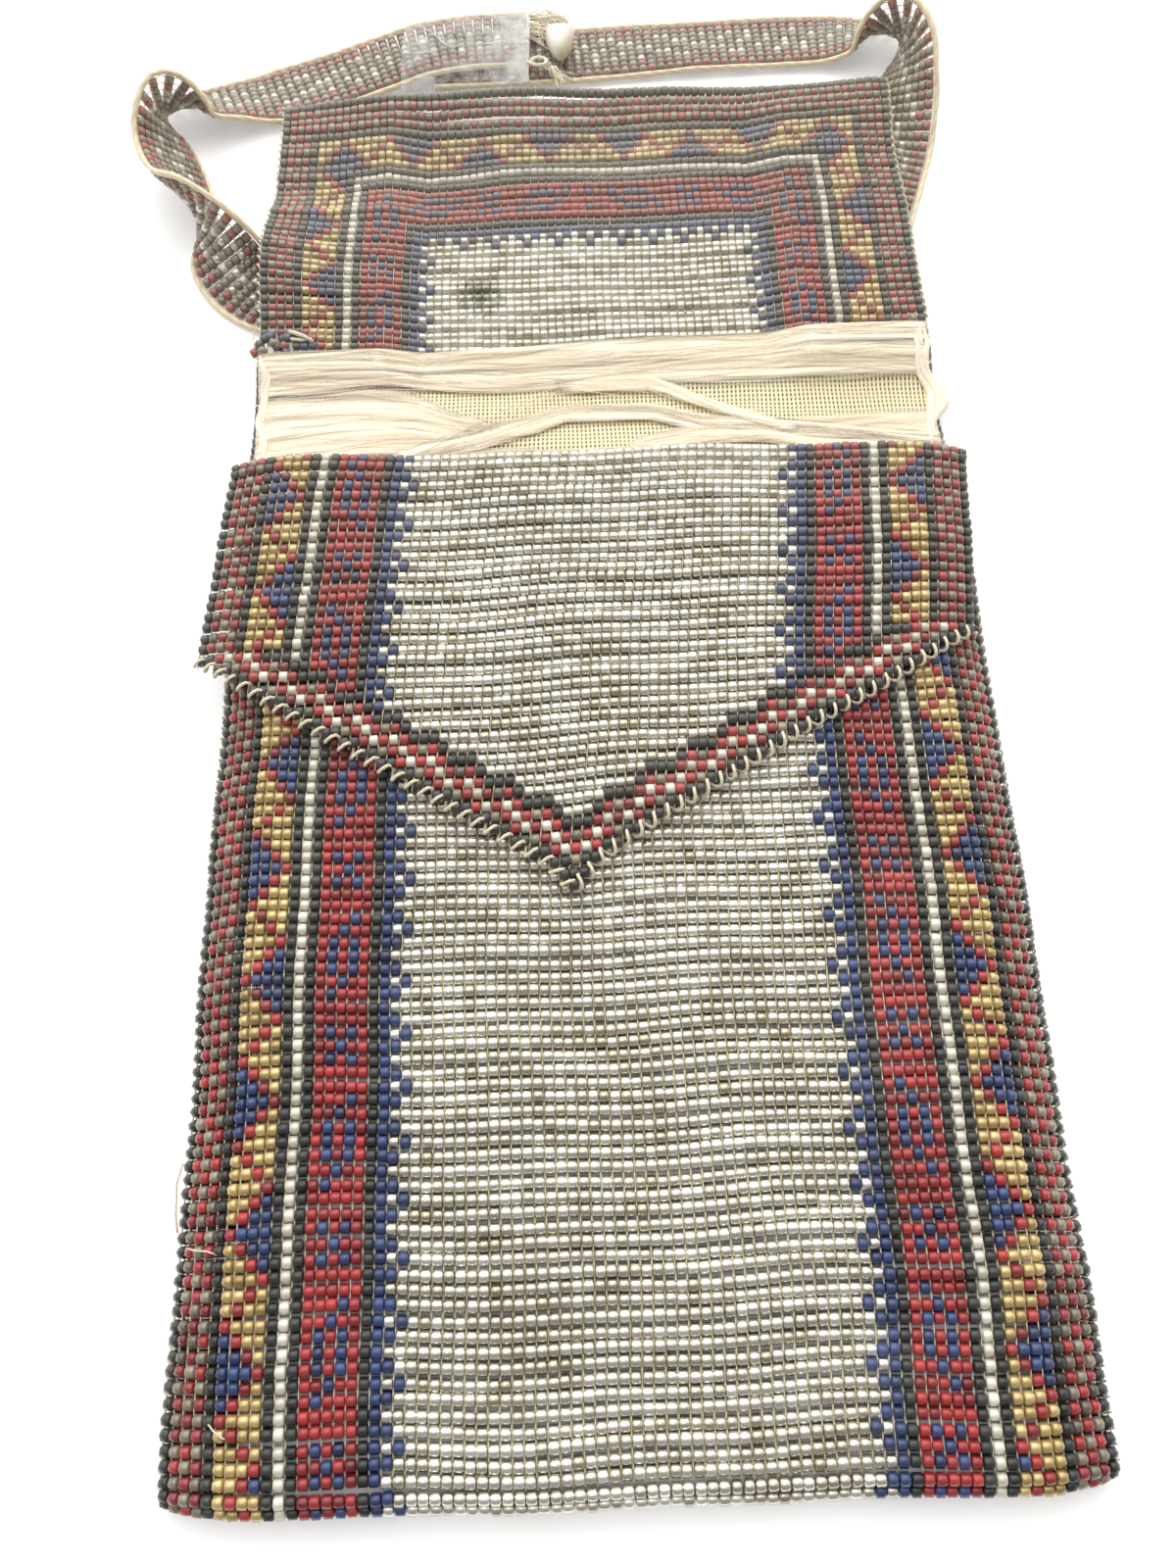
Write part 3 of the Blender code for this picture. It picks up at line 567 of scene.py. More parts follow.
def string_beads(name, shape, places, rows_way, strip_way, lengths, widths, letters):
    points, faces = shape
    count, each = len(places), len(points)
    rows_way = unit(rows_way)
    up = unit(np.cross(rows_way, strip_way))
    ahead = np.cross(up, rows_way)
    turned = chance.uniform(0, 2 * math.pi, count)
    cos, sin = np.cos(turned)[:, None], np.sin(turned)[:, None]
    side_a, side_b = ahead * cos + up * sin, up * cos - ahead * sin
    cloud = (places[:, None, :]
             + rows_way[:, None, :] * points[None, :, 0, None] * lengths[:, None, None]
             + side_a[:, None, :] * points[None, :, 1, None] * widths[:, None, None]
             + side_b[:, None, :] * points[None, :, 2, None] * widths[:, None, None])
    flat = np.concatenate([np.array(face) for face in faces])
    sizes = np.array([len(face) for face in faces])
    offsets = (np.arange(count) * each)[:, None]
    piece = mesh_piece(name, cloud.reshape(-1, 3), (flat[None, :] + offsets).ravel(), np.tile(sizes, count))
    used = sorted(set(letters), key="kgrbyws".index)
    for letter in used:
        piece.data.materials.append(BEAD_FINISHES[letter])
    slots = np.array([used.index(letter) for letter in letters])
    piece.data.polygons.foreach_set("material_index", np.repeat(slots, len(faces)).astype(np.int32))
    piece.data.polygons.foreach_set("use_smooth", np.ones(count * len(faces), bool))
    x, y = places[:, 0] / MM, places[:, 1] / MM
    patches = np.sin(x / 7.1 + 2.1 * np.sin(y / 4.3)) * np.sin(y / 3.1 + 1.7 * np.sin(x / 19))
    own = np.clip(chance.beta(2.6, 1.7, count) + 0.16 * patches, 0.0, 1.0)
    tint = piece.data.attributes.new("tint", "FLOAT", "POINT")
    tint.data.foreach_set("value", np.repeat(own, each).astype(np.float32))
    across = math.ceil(math.sqrt(count))
    tile = np.column_stack([np.arange(count) % across, np.arange(count) // across])
    atlas = (tile[:, None, :] + 0.06 + 0.88 * corner_map(points, faces)[None, :, :]) / across
    layer = piece.data.uv_layers.new(name="OFBake")
    layer.uv.foreach_set("vector", atlas.astype(np.float32).ravel())
    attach(piece, "root")
    triangles = count * int((sizes - 2).sum())
    print(f"{name}: {count} beads, {triangles} triangles")
    return piece


# %% [markdown]
# A panel is a grid of rows and columns. For each bead the row's direction and the strip's direction are
# found by looking a little way to either side on the panel's surface. The grids leave out the beads well
# under the flap, which nothing shows, and those that have come loose at the leaf's tear.

# %% Lay out a panel
BEAD_LENGTH_SHARE = 0.915
BEAD_WIDTH_SHARE = 0.955
BORDER_COLUMNS = 19


def panel_beads(name, surface, grid, pitch, letters_of, shape, step_along=0.4 * MM):
    """grid: a list of (x across the strip, place along it, row, column)."""
    x, along, row, column = (np.array(part) for part in zip(*grid))
    nudge = 0.05 * MM
    x = x + chance.uniform(-nudge, nudge, len(x))
    places = surface(x, along) + chance.normal(0.0, 0.03 * MM, (len(x), 3))
    phase = chance.uniform(0, 2 * math.pi, (3, int(row.max()) + 1))[:, row.astype(int)]
    drift = 0.11 * np.sin(x / MM / 16 + phase[0]) + 0.06 * np.sin(x / MM / 6 + phase[1])
    strip_way = surface(x, along + step_along) - surface(x, along - step_along)
    places += unit(strip_way) * (drift * MM)[:, None]
    places[:, 2] += 0.12 * MM * np.sin(x / MM / 21 + phase[2])
    rows_way = surface(x + 0.4 * MM, along) - surface(x - 0.4 * MM, along)
    rows_way = rows_way + chance.normal(0.0, 0.02 * MM, rows_way.shape)
    letters = [letters_of(int(r), int(c)) for r, c in zip(row, column)]
    size = chance.normal(1.0, 0.025, len(x))
    slim = np.array([0.96 if letter in "kr" else 1.0 for letter in letters])
    lengths = COLUMN_PITCH * BEAD_LENGTH_SHARE * size
    widths = pitch * BEAD_WIDTH_SHARE * slim * chance.normal(1.0, 0.02, len(x))
    if surface is on_leaf:  # rows that are drawn apart or pushed together show fatter or thinner beads
        stretch = np.linalg.norm(strip_way, axis=1) / (2 * step_along)
        widths = widths * np.clip(1 + 1.5 * (stretch - 1), 0.9, 1.13)
    return string_beads(name, shape, places, rows_way, strip_way, lengths, widths, letters)


def column_x(column):
    return -HALF_WIDTH + (column + 0.5) * COLUMN_PITCH


def front_y(row):
    return -MOUTH + (row + 0.5) * ROW_PITCH


def flap_y(row):
    return MOUTH - (FLAP_ROWS - row - 0.5) * ROW_PITCH


def leaf_y(row):
    return MOUTH + (row + 0.5) * LEAF_ROW_PITCH


def under_flap(row, column):
    """True well inside the flap's outline, where no light reaches the front's beads."""
    y = front_y(row)
    down = MOUTH - y
    flap_row = int(FLAP_ROWS - down / ROW_PITCH) - 3
    if flap_row < 1:
        return False
    return abs(column_x(column) + FLAP_SWING * down) < (flap_columns(flap_row) / 2 - 3) * COLUMN_PITCH


def grid_of(rows, place_of, keep=lambda row, column: True):
    return [(column_x(c), place_of(r), r, c) for r in range(rows) for c in range(COLUMNS) if keep(r, c)]


def field_and_border(name, surface, grid, shape):
    """The two panels of a face of the pouch: its plain field, and the bands along its sides."""
    parts = {"field": [], "border": []}
    for place in grid:
        parts["field" if BORDER_COLUMNS <= place[3] < COLUMNS - BORDER_COLUMNS else "border"].append(place)
    panels = [panel_beads(f"{name}_{part}_beads", surface, places, ROW_PITCH, front_bead, shape)
              for part, places in parts.items()]
    return panels[0]


front_grid = grid_of(POUCH_ROWS, front_y, lambda row, column: not under_flap(row, column))
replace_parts(field_and_border("front", on_front, front_grid, ROUND_BEAD), "loomed_strip")

# %% The other panels
FOLD_STEP = 0.1
BOTTOM_FOLD_ROWS = 4
MOUTH_FOLD_ROWS = 2
HIDDEN_LEAF_ROWS = 15
TORN_ROWS = range(15, 19)
TORN_COLUMNS = 4


def fold_place(rows):
    """The angle round a fold at which each of its rows lies."""
    return lambda row: math.pi * (2 * row + 1) / (2 * rows)


flap_grid = grid_of(FLAP_ROWS, flap_y, lambda row, column: abs(column - COLUMNS // 2) * 2 < flap_columns(row))
panel_beads("flap_beads", on_flap, flap_grid, ROW_PITCH, flap_bead, ROUND_BEAD)
leaf_grid = grid_of(LEAF_ROWS, leaf_y, lambda row, column: column >= TORN_COLUMNS or row not in TORN_ROWS)
shown_leaf = [place for place in leaf_grid if place[2] >= HIDDEN_LEAF_ROWS]
panel_beads("leaf_beads", on_leaf, shown_leaf, LEAF_ROW_PITCH, leaf_bead, ROUND_BEAD)
field_and_border("back", on_back, grid_of(POUCH_ROWS, front_y), PLAIN_BEAD)
hidden_leaf = [place for place in leaf_grid if place[2] < HIDDEN_LEAF_ROWS]
panel_beads("leaf_beads_behind_lining", on_leaf, hidden_leaf, LEAF_ROW_PITCH, leaf_bead, PLAIN_BEAD)
for name, surface, rows in (("bottom_fold_beads", on_bottom_fold, BOTTOM_FOLD_ROWS),
                            ("mouth_fold_beads", on_mouth_fold, MOUTH_FOLD_ROWS)):
    panel_beads(name, surface, grid_of(rows, fold_place(rows)), ROW_PITCH, front_bead, ROUND_BEAD, FOLD_STEP)

# %% [markdown]
# At the leaf's left edge, close to the lining, the threads have torn. The beads there hang loose and point
# every way, and two red ones have slipped over the edge.

# %% The loose beads at the tear
TORN_LETTERS = "kbgkkbgrkgbkk"
OVER_EDGE = np.array([(-67.3, 115.4, 2.4), (-66.2, 116.6, 3.0)]) * MM
torn = TORN_COLUMNS * len(TORN_ROWS)
torn_x = np.repeat(column_x(np.arange(TORN_COLUMNS)), len(TORN_ROWS)) + chance.normal(0, 0.35 * MM, torn)
torn_y = np.tile(leaf_y(np.array(TORN_ROWS)), TORN_COLUMNS) + chance.normal(0, 0.4 * MM, torn)
torn_places = on_leaf(torn_x, torn_y) + np.outer(chance.uniform(0, 0.9, torn), (0, 0, MM))
torn_places = np.concatenate([torn_places[chance.permutation(torn)[:len(TORN_LETTERS)]], OVER_EDGE])
left = len(torn_places)
lean = np.array([(1.0, 0.0, 0.0)]) + chance.normal(0, 0.4, (left, 3))
string_beads("loose_beads_at_tear", ROUND_BEAD, torn_places, lean, np.tile([[0.0, 1.0, 0.1]], (left, 1)),
             np.full(left, 1.5 * MM), np.full(left, 1.8 * MM), list(TORN_LETTERS + "rr"))

# %% [markdown]
# ## Threads
# A loom's warp threads run the whole length of the strip, one between each two columns of beads, and they
# show as pale lines. At the edges the weft comes out of the last bead, goes round the outer warp and back.
# Each thread here is a thin tube that follows a list of places. One function makes many tubes in one mesh.

# %% Make tubes along lists of places
def run_along(path):
    """How far along a path each of its places lies."""
    return np.concatenate([[0.0], np.cumsum(np.linalg.norm(np.diff(path, axis=0), axis=1))])


def places_at(at, run, path):
    return np.column_stack([np.interp(at, run, path[:, axis]) for axis in range(3)])


def smooth_piece(piece, finish):
    piece.data.materials.append(finish)
    piece.data.polygons.foreach_set("use_smooth", np.ones(len(piece.data.polygons), bool))


def give_map(piece, corners):
    """The map that the thread and cloth finishes read."""
    layer = piece.data.uv_layers.new(name="thread")
    layer.uv.foreach_set("vector", np.asarray(corners, np.float32).ravel())


def tube_mesh(name, paths, radii, sides, finish, slot, node=None, wide=1.0):
    """paths: lists of places; radii: the radius at each place of each path, or one number."""
    clouds, faces, counts, tiles = [], [], [], []
    start = 0
    ring = np.arange(sides) * 2 * math.pi / sides
    for number, path in enumerate(paths):
        path = np.asarray(path, float)
        ahead = unit(np.gradient(path, axis=0))
        side = unit(np.cross(ahead, (0.0, 0.0, 1.0)) + 1e-9)
        up = np.cross(side, ahead)
        radius = radii[number] if isinstance(radii, list) else np.full(len(path), radii)
        radius = radius[:, None, None]
        cloud = (path[:, None, :] + side[:, None, :] * (np.cos(ring) * wide)[None, :, None] * radius
                 + up[:, None, :] * np.sin(ring)[None, :, None] * radius)
        clouds.append(cloud.reshape(-1, 3))
        n = len(path)
        rings = start + (np.arange(n - 1) * sides)[:, None]
        first = rings + np.arange(sides)[None, :]
        after = rings + (np.arange(sides) + 1)[None, :] % sides
        quads = np.stack([first, after, after + sides, first + sides], axis=-1).reshape(-1, 4)
        faces += [quads.ravel(), start + np.arange(sides)[::-1], start + (n - 1) * sides + np.arange(sides)]
        counts += [np.full(len(quads), 4), [sides], [sides]]
        run = run_along(path)
        around = np.arange(sides) / sides
        low = np.stack(np.broadcast_arrays(run[:-1, None], around[None, :]), -1)
        high = np.stack(np.broadcast_arrays(run[1:, None], around[None, :]), -1)
        step = (0.0, 1.0 / sides)
        tiles += [np.stack([low, low + step, high + step, high], axis=2).reshape(-1, 2),
                  np.tile([[0.0, 0.0]], (2 * sides, 1))]
        start += n * sides
    piece = mesh_piece(name, np.concatenate(clouds), np.concatenate(faces), np.concatenate(counts))
    give_map(piece, np.concatenate(tiles))
    smooth_piece(piece, finish)
    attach(piece, "root")
    if node:
        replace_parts(piece, node)
    print(f"{name}: {len(paths)} tubes, {sum(int((np.asarray(c) - 2).sum()) for c in counts)} triangles")
    return piece


# %% [markdown]
# Cotton thread is made of fibres twisted together, so its finish has slanting ridges. They come from the
# tube's own map: one number runs along the thread and the other round it, and their sum climbs in a spiral.

# %% Finish of cotton threads and cords
def cotton_finish(name, dark, light, twist, depth):
    finish = Finish(name, Roughness=0.85, Sheen_Weight=0.25)
    own_map = finish.add("ShaderNodeUVMap", {"uv_map": "thread"})
    along, around = finish.part(0, own_map), finish.part(1, own_map)
    ply = (along * (2 * math.pi / twist) + around * (4 * math.pi)).sine() * 0.5 + 0.5
    soiled = finish.noise(90.0, 3.0)
    finish.to("Base Color", finish.blend((ply * 0.45 + soiled * 0.55).clamped(), dark, light))
    finish.to("Normal", finish.bump(ply + finish.noise(2500.0, 2.0) * 0.4, 0.6, depth))
    return finish.material


THREAD = cotton_finish("warp thread", colour(218, 206, 172), colour(248, 240, 216), 1.2 * MM, 0.05 * MM)
CORD_COTTON = cotton_finish("cotton cord", colour(228, 206, 166), colour(252, 240, 212), 3.2 * MM, 0.12 * MM)
FLUFF = cotton_finish("cotton fibres", colour(250, 236, 206), colour(255, 250, 232), 1.2 * MM, 0.02 * MM)
print("cotton finishes:", THREAD.name, "and", CORD_COTTON.name)

# %% The warp threads of each panel
def warp_paths(surface, places_of, steps):
    paths = []
    for number in range(COLUMNS + 1):
        start, end = places_of(number)
        along = np.linspace(start, end, max(2, int(steps * (end - start) / (2 * MOUTH)) + 1))
        paths.append(surface(np.full_like(along, -HALF_WIDTH + number * COLUMN_PITCH), along))
    return paths


def flap_reach(number):
    """The stretch of the flap's length where this warp lies: to the slanting edge."""
    inward = min(number, COLUMNS - number)
    lowest = next(row for row in range(POINT_ROWS) if (COLUMNS - flap_columns(row)) / 2 <= inward)
    return MOUTH - (FLAP_ROWS - lowest) * ROW_PITCH, MOUTH


WARP = 0.13 * MM
for name, surface, places_of, steps in (("front", on_front, lambda n: (-MOUTH, MOUTH), 32),
                                        ("flap", on_flap, flap_reach, 32),
                                        ("leaf", on_leaf, lambda n: (MOUTH, LEAF_END), 42),
                                        ("back", on_back, lambda n: (-MOUTH, MOUTH), 12)):
    paths = warp_paths(surface, places_of, steps)
    tube_mesh(f"{name}_warps", paths, WARP, 4, THREAD, "warp_thread", wide=0.9)

# %% [markdown]
# ## The edges
# Along every edge the thread is whipped over: it goes round and round the outer beads. A spiral along the
# edge gives that, a little uneven in its pitch. Each spiral stands for one of the solid model's edge threads.

# %% Whip the edges
def spiral_along(route, pitch, across, high):
    """A spiral whose axis is the route. across and high are its half width and half height."""
    run = run_along(route)
    at = np.linspace(0, run[-1], int(run[-1] / pitch * 8))
    axis = places_at(at, run, route)
    side = np.cross(unit(np.gradient(axis, axis=0)), (0.0, 0.0, 1.0))
    turn = at / pitch * 2 * math.pi + 0.5 * np.sin(at / (9 * MM))
    return axis + side * (np.cos(turn) * across)[:, None] + np.outer(np.sin(turn) * high, (0, 0, 1))


def edge_route(surface, x, start, end, count):
    along = np.linspace(start, end, count)
    return surface(np.full_like(along, x), along)


for side, name in ((-1, "left"), (1, "right")):
    seam = edge_route(on_back, side * (HALF_WIDTH - 0.1 * MM), -MOUTH, MOUTH - 13 * MM, 80)
    seam[:, 2] += 1.0 * MM
    whip = spiral_along(seam, ROW_PITCH, 0.8 * MM, 2.0 * MM)
    tube_mesh(f"{name}_seam_thread", [whip], 0.19 * MM, 4, THREAD, "warp_thread", f"{name}_seam_cord")
    edge = edge_route(on_leaf, side * (HALF_WIDTH + 0.1 * MM), MOUTH + 37.6 * MM, LEAF_END, 70)
    whip = spiral_along(edge, LEAF_ROW_PITCH, 0.28 * MM, 0.5 * MM)
    tube_mesh(f"{name}_leaf_edge_thread", [whip], 0.24 * MM, 5, THREAD, "warp_thread", f"{name}_leaf_cord")

slant = [(-flap_columns(row) / 2 * COLUMN_PITCH, flap_y(row)) for row in range(POINT_ROWS - 1, 0, -1)]
slant += [(0.0, flap_y(0) - 0.6 * MM)] + [(-x, y) for x, y in reversed(slant)]
slant_route = on_flap(*np.array(slant).T)
slant_route[:, 2] += 0.2 * MM
whip = spiral_along(slant_route, 2.6 * MM, 1.05 * MM, 1.05 * MM)
tube_mesh("flap_edge_thread", [whip], 0.29 * MM, 5, THREAD, "warp_thread", "flap_edge_cord")

# %% [markdown]
# ## The strap
# The strap is a narrow loomed band of nine columns, and it has broken in the middle. Its two halves follow
# the routes of the solid model. At each place on a route the band has a roll: 0 lies flat, 90 stands on edge.

# %% Follow the strap's routes
LEFT_ROUTE = [
    (-11.5, 199.0, 2.55, 0), (-24.0, 198.6, 2.55, 0), (-35.0, 197.2, 2.0, 0), (-45.0, 194.6, 0.6, 0),
    (-56.0, 190.4, 0.0, 0), (-66.0, 186.6, 0.0, 1), (-76.0, 183.4, 0.0, 14), (-84.2, 180.6, 0.0, 30),
    (-89.3, 175.8, 0.0, 78), (-88.9, 169.0, 0.0, 122), (-86.0, 160.5, 0.0, 134), (-81.8, 150.5, 0.0, 116),
    (-77.3, 142.5, 0.0, 62), (-72.6, 136.0, 0.0, 18), (-67.0, 131.0, 0.0, 3), (-59.5, 127.6, 0.0, 0),
    (-51.5, 125.6, 0.0, 0),
]
RIGHT_ROUTE = [
    (-33.0, 195.6, 0.2, 0), (-18.0, 196.0, 0.2, 0), (-2.0, 196.8, 0.1, 0), (12.0, 198.0, 0.0, 1),
    (25.0, 198.9, 0.0, 4), (45.0, 199.8, 0.0, 3), (57.0, 199.7, 0.0, 8), (64.4, 198.2, 0.0, 28),
    (69.8, 193.8, 0.0, 78), (70.6, 186.8, 0.0, 118), (69.0, 180.0, 0.0, 145), (67.6, 173.0, 0.0, 163),
    (66.0, 166.0, 0.0, 177), (61.0, 151.0, 0.0, 180), (55.5, 135.0, 0.0, 180), (52.6, 122.0, 0.0, 180),
]
STRAP_WIDTH = 13.8 * MM
STRAP_COLUMNS = 9
STRAP_ROW_PITCH = 2.05 * MM
STRAP_CORD = 1.0 * MM
CORD_REACH = STRAP_WIDTH / 2 + 0.3 * MM + STRAP_CORD / 2


def catmull(a, b, c, d, t):
    return b + 0.5 * t * (c - a + t * (2 * a - 5 * b + 4 * c - d + t * (3 * (b - c) + d - a)))


def follow_strap(route, marked_side):
    """Places, directions ahead and directions towards the marked edge, two for each row of beads."""
    padded = np.array([route[0]] + route + [route[-1]], float)
    shares = np.arange(40)[:, None] / 40
    fine = [catmull(*(padded[i + j] for j in range(4)), shares) for i in range(len(route) - 1)]
    fine = np.concatenate(fine + [padded[-1:]])
    tilt = np.radians(fine[:, 3])
    lowest = np.maximum(BEAD / 2, STRAP_CORD / 2 + CORD_REACH * np.abs(np.sin(tilt)))
    places = np.column_stack([fine[:, 0] * MM, fine[:, 1] * MM, fine[:, 2] * MM + lowest])
    run = run_along(places)
    at = np.linspace(0, run[-1], 2 * round(run[-1] / STRAP_ROW_PITCH) + 1)
    places = places_at(at, run, places)
    roll = np.interp(at, run, tilt)
    ahead = unit(np.gradient(places, axis=0))
    left = unit(np.column_stack([-ahead[:, 1], ahead[:, 0], np.zeros(len(ahead))]))
    up = np.cross(ahead, left)
    across = left * (marked_side * np.cos(roll))[:, None] + up * np.sin(roll)[:, None]
    return places, ahead, across


def strap_letter(row, column):
    inward = min(column, STRAP_COLUMNS - 1 - column)
    if inward < 2:
        return "r" if (row + inward) % 2 else "g"
    return "w" if (row * 3 + column) % 7 == 0 else ("s" if (row * 2 + column) % 5 == 0 else "g")


def strap_beads(name, route, marked_side):
    places, ahead, across = follow_strap(route, marked_side)
    middle = slice(1, None, 2)
    pitch = STRAP_WIDTH / STRAP_COLUMNS
    offsets = (np.arange(STRAP_COLUMNS) - STRAP_COLUMNS // 2) * pitch
    rows = len(places[middle])
    centre = (places[middle][:, None, :] + across[middle][:, None, :] * offsets[None, :, None]).reshape(-1, 3)
    count = len(centre)
    rows_way = np.repeat(across[middle], STRAP_COLUMNS, axis=0) + chance.normal(0, 0.02, (count, 3))
    strip_way = np.repeat(ahead[middle], STRAP_COLUMNS, axis=0)
    letters = [strap_letter(r, c) for r in range(rows) for c in range(STRAP_COLUMNS)]
    lengths = pitch * 0.91 * chance.normal(1, 0.025, count)
    widths = STRAP_ROW_PITCH * 0.97 * chance.normal(1, 0.03, count)
    beads = string_beads(name, ROUND_BEAD, centre, rows_way, strip_way, lengths, widths, letters)
    paths = [places + across * ((number - STRAP_COLUMNS / 2) * pitch) for number in range(STRAP_COLUMNS + 1)]
    tube_mesh(f"{name}_warps", [path[::2] for path in paths], WARP, 4, THREAD, "warp_thread")
    return beads


def strap_cord(name, route, marked_side, edge):
    places, ahead, across = follow_strap(route, marked_side)
    path = places + across * (edge * CORD_REACH)
    lumps = 0.1 * np.sin(np.arange(len(path)) / 1.7) + chance.normal(0, 0.03, len(path))
    thick = STRAP_CORD / 2 * (1.12 + lumps)
    tube_mesh(f"{name}_cotton", [path], [thick], 8, CORD_COTTON, "cotton_cord", name)


for name, route, marked_side in (("left_strap", LEFT_ROUTE, 1), ("right_strap", RIGHT_ROUTE, -1)):
    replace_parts(strap_beads(f"{name}_beads", route, marked_side), name)
    strap_cord(f"{name}_outer_cord", route, marked_side, -1)
    strap_cord(f"{name}_inner_cord", route, marked_side, 1)

# %% [markdown]
# ## The lining
# Two cloths line the pouch. The inner one is silk, and it has split: most of its upright threads are gone,
# so that the level ones lie loose in wavy bundles. Under it, and showing between the bundles, is a yellowed
# gauze, an open net of soft threads. Each cloth is a plain sheet where the pouch hides it, and separate
# threads where it shows, between the mouth and the leaf.

# %% The lining's surface and its hidden sheets
LINING_HALF = 56.0 * MM
SHOWN_HALF = 65.2 * MM


def pick_only(piece):
    tidy_selection()
    piece.select_set(True)
    bpy.context.view_layer.objects.active = piece


def give_wall(piece, thickness, offset=-1.0):
    """Give a sheet its thickness. An offset of -1 adds it behind the faces, and 0 on both sides."""
    wall = piece.modifiers.new("wall", "SOLIDIFY")
    wall.thickness = thickness
    wall.offset = offset
    bpy.ops.object.modifier_apply(modifier="wall")


def lining_edge(x):
    """How far the lining shows above the mouth at a place across it."""
    return 32.3 * MM + 2.0 * MM * x / SHOWN_HALF


def on_lining(x, reach, lift):
    x, reach = np.asarray(x, float), np.asarray(reach, float)
    y = MOUTH + reach
    hill = 0.45 + 0.30 * np.sin(x / MM / 17 + 0.8) + 0.25 * np.sin(reach / MM / 4.6 + x / MM / 33)
    side = ease((SHOWN_HALF + 1.5 * MM - np.abs(x)) / (6 * MM))
    height = leaf_height(x, y) + GAUZE_OFFSET + hill * 1.5 * MM * side * ease(reach / (5 * MM)) + lift
    return np.column_stack([x, y, height])


def hidden_sheet(name, offset, half):
    """The part of a lining sheet that lies in the pouch: front layer, bottom fold and back layer."""
    def under_front(y):
        return float(front_height(np.zeros(1), np.full(1, y))[0]) - offset

    profile = [(MOUTH - 0.4 * MM, under_front(MOUTH))]
    profile += [(y, under_front(y)) for y in MOUTH - 2 * MOUTH * np.linspace(0.06, 1.0, 14)]
    low = BACK_LEVEL + offset
    radius = (profile[-1][1] - low) / 2
    for angle in np.linspace(0.25, 0.75, 3) * math.pi:
        profile.append((-MOUTH - radius * math.sin(angle), low + radius * (1 + math.cos(angle))))
    profile += [(-MOUTH, low), (0.0, low), (MOUTH + 3 * MM, low)]
    columns = 9
    points = [(x, y, z) for y, z in profile for x in np.linspace(-half, half, columns)]
    faces = []
    for row in range(len(profile) - 1):
        for column in range(columns - 1):
            first = row * columns + column
            faces += [first, first + 1, first + columns + 1, first + columns]
    sheet = mesh_piece(name, points, faces, np.full(len(faces) // 4, 4))
    pick_only(sheet)
    give_wall(sheet, 0.2 * MM, 0.0)
    give_map(sheet, [sheet.data.vertices[loop.vertex_index].co.xy for loop in sheet.data.loops])
    return sheet


print("a place on the lining in mm:", np.round(on_lining([0.0], [0.01], 0.0)[0] / MM, 2))


# %% Finishes of the silk and the gauze
def cloth_finish(name, dark, light, rough, sheen, fine, thin=0.0, alpha=1.0):
    """Fine lines run along the cloth's own map. Where they are darkest a thin cloth lets the eye through."""
    finish = Finish(name, Roughness=rough, Sheen_Weight=sheen, Sheen_Roughness=0.35, Alpha=alpha)
    own_map = finish.add("ShaderNodeUVMap", {"uv_map": "thread"})
    stretch = finish.add("ShaderNodeMapping", {}, {"Vector": own_map, "Scale": (fine / 60, fine, 1.0)})
    streak = finish.noise(1.0, 4.0, stretch)
    broad = finish.noise(0.16, 2.0, stretch)
    tint = finish.value("tint")
    shade = (streak * 0.8 + broad * 0.5 + tint * 0.3 - 0.25).clamped()
    finish.to("Base Color", finish.blend(shade, dark, light))
    finish.to("Normal", finish.bump(streak + broad, 0.2, 0.08 * MM))
    if thin:
        cover = finish.value("cover")
        finish.to("Alpha", (cover * 1.9 + (streak - 0.5) * 1.6 + (broad - 0.5) * 1.9 - thin).clamped())
    return finish.material


SILK = cloth_finish("worn silk", colour(250, 230, 200), colour(255, 245, 228), 0.5, 0.4, 4200.0)
LOOSE_SILK = cloth_finish("loose silk", colour(254, 240, 216), colour(255, 251, 238), 0.5, 0.4, 4200.0,
                          alpha=0.42)
THIN_SILK = cloth_finish("thin silk", colour(248, 226, 192), colour(255, 246, 226), 0.5, 0.4, 5200.0, 0.25)
GAUZE = cloth_finish("yellowed gauze", colour(254, 236, 184), colour(255, 250, 220), 0.85, 0.2, 5000.0)
print("cloth finishes:", SILK.name, THIN_SILK.name, "and", GAUZE.name)


def add_tints(piece, low=0.0, high=1.0):
    """A random number for each loose part of a mesh, kept at its points."""
    mesh = piece.data
    owner = np.arange(len(mesh.vertices))
    edges = np.empty(len(mesh.edges) * 2, np.int32)
    mesh.edges.foreach_get("vertices", edges)
    edges = edges.reshape(-1, 2)
    while True:
        least = np.minimum(owner[edges[:, 0]], owner[edges[:, 1]])
        before = owner.copy()
        np.minimum.at(owner, edges[:, 0], least)
        np.minimum.at(owner, edges[:, 1], least)
        owner = owner[owner]
        if (owner == before).all():
            break
    own = chance.uniform(low, high, len(mesh.vertices))
    layer = mesh.attributes.get("tint") or mesh.attributes.new("tint", "FLOAT", "POINT")
    layer.data.foreach_set("value", own[owner].astype(np.float32))


def join_pieces(pieces, name):
    pick_only(pieces[0])
    for piece in pieces:
        piece.select_set(True)
    bpy.ops.object.join()
    pieces[0].name = name
    return pieces[0]


# %% The gauze: a net of level and upright threads
def gauze_level(reach):
    x = np.linspace(-SHOWN_HALF, SHOWN_HALF, 44)
    wander = 0.10 * MM * np.sin(x / MM / 6 + reach / MM) + 0.06 * MM * np.sin(x / MM / 2.1)
    return on_lining(x, np.full_like(x, reach) + wander, 0.0)


def gauze_upright(x):
    reach = np.linspace(-4 * MM, float(lining_edge(x)) - 0.4 * MM, 13)
    sway = 0.22 * MM * np.sin(reach / MM / 5 + x / MM / 9)
    return on_lining(np.full_like(reach, x) + sway, reach, 0.07 * MM)


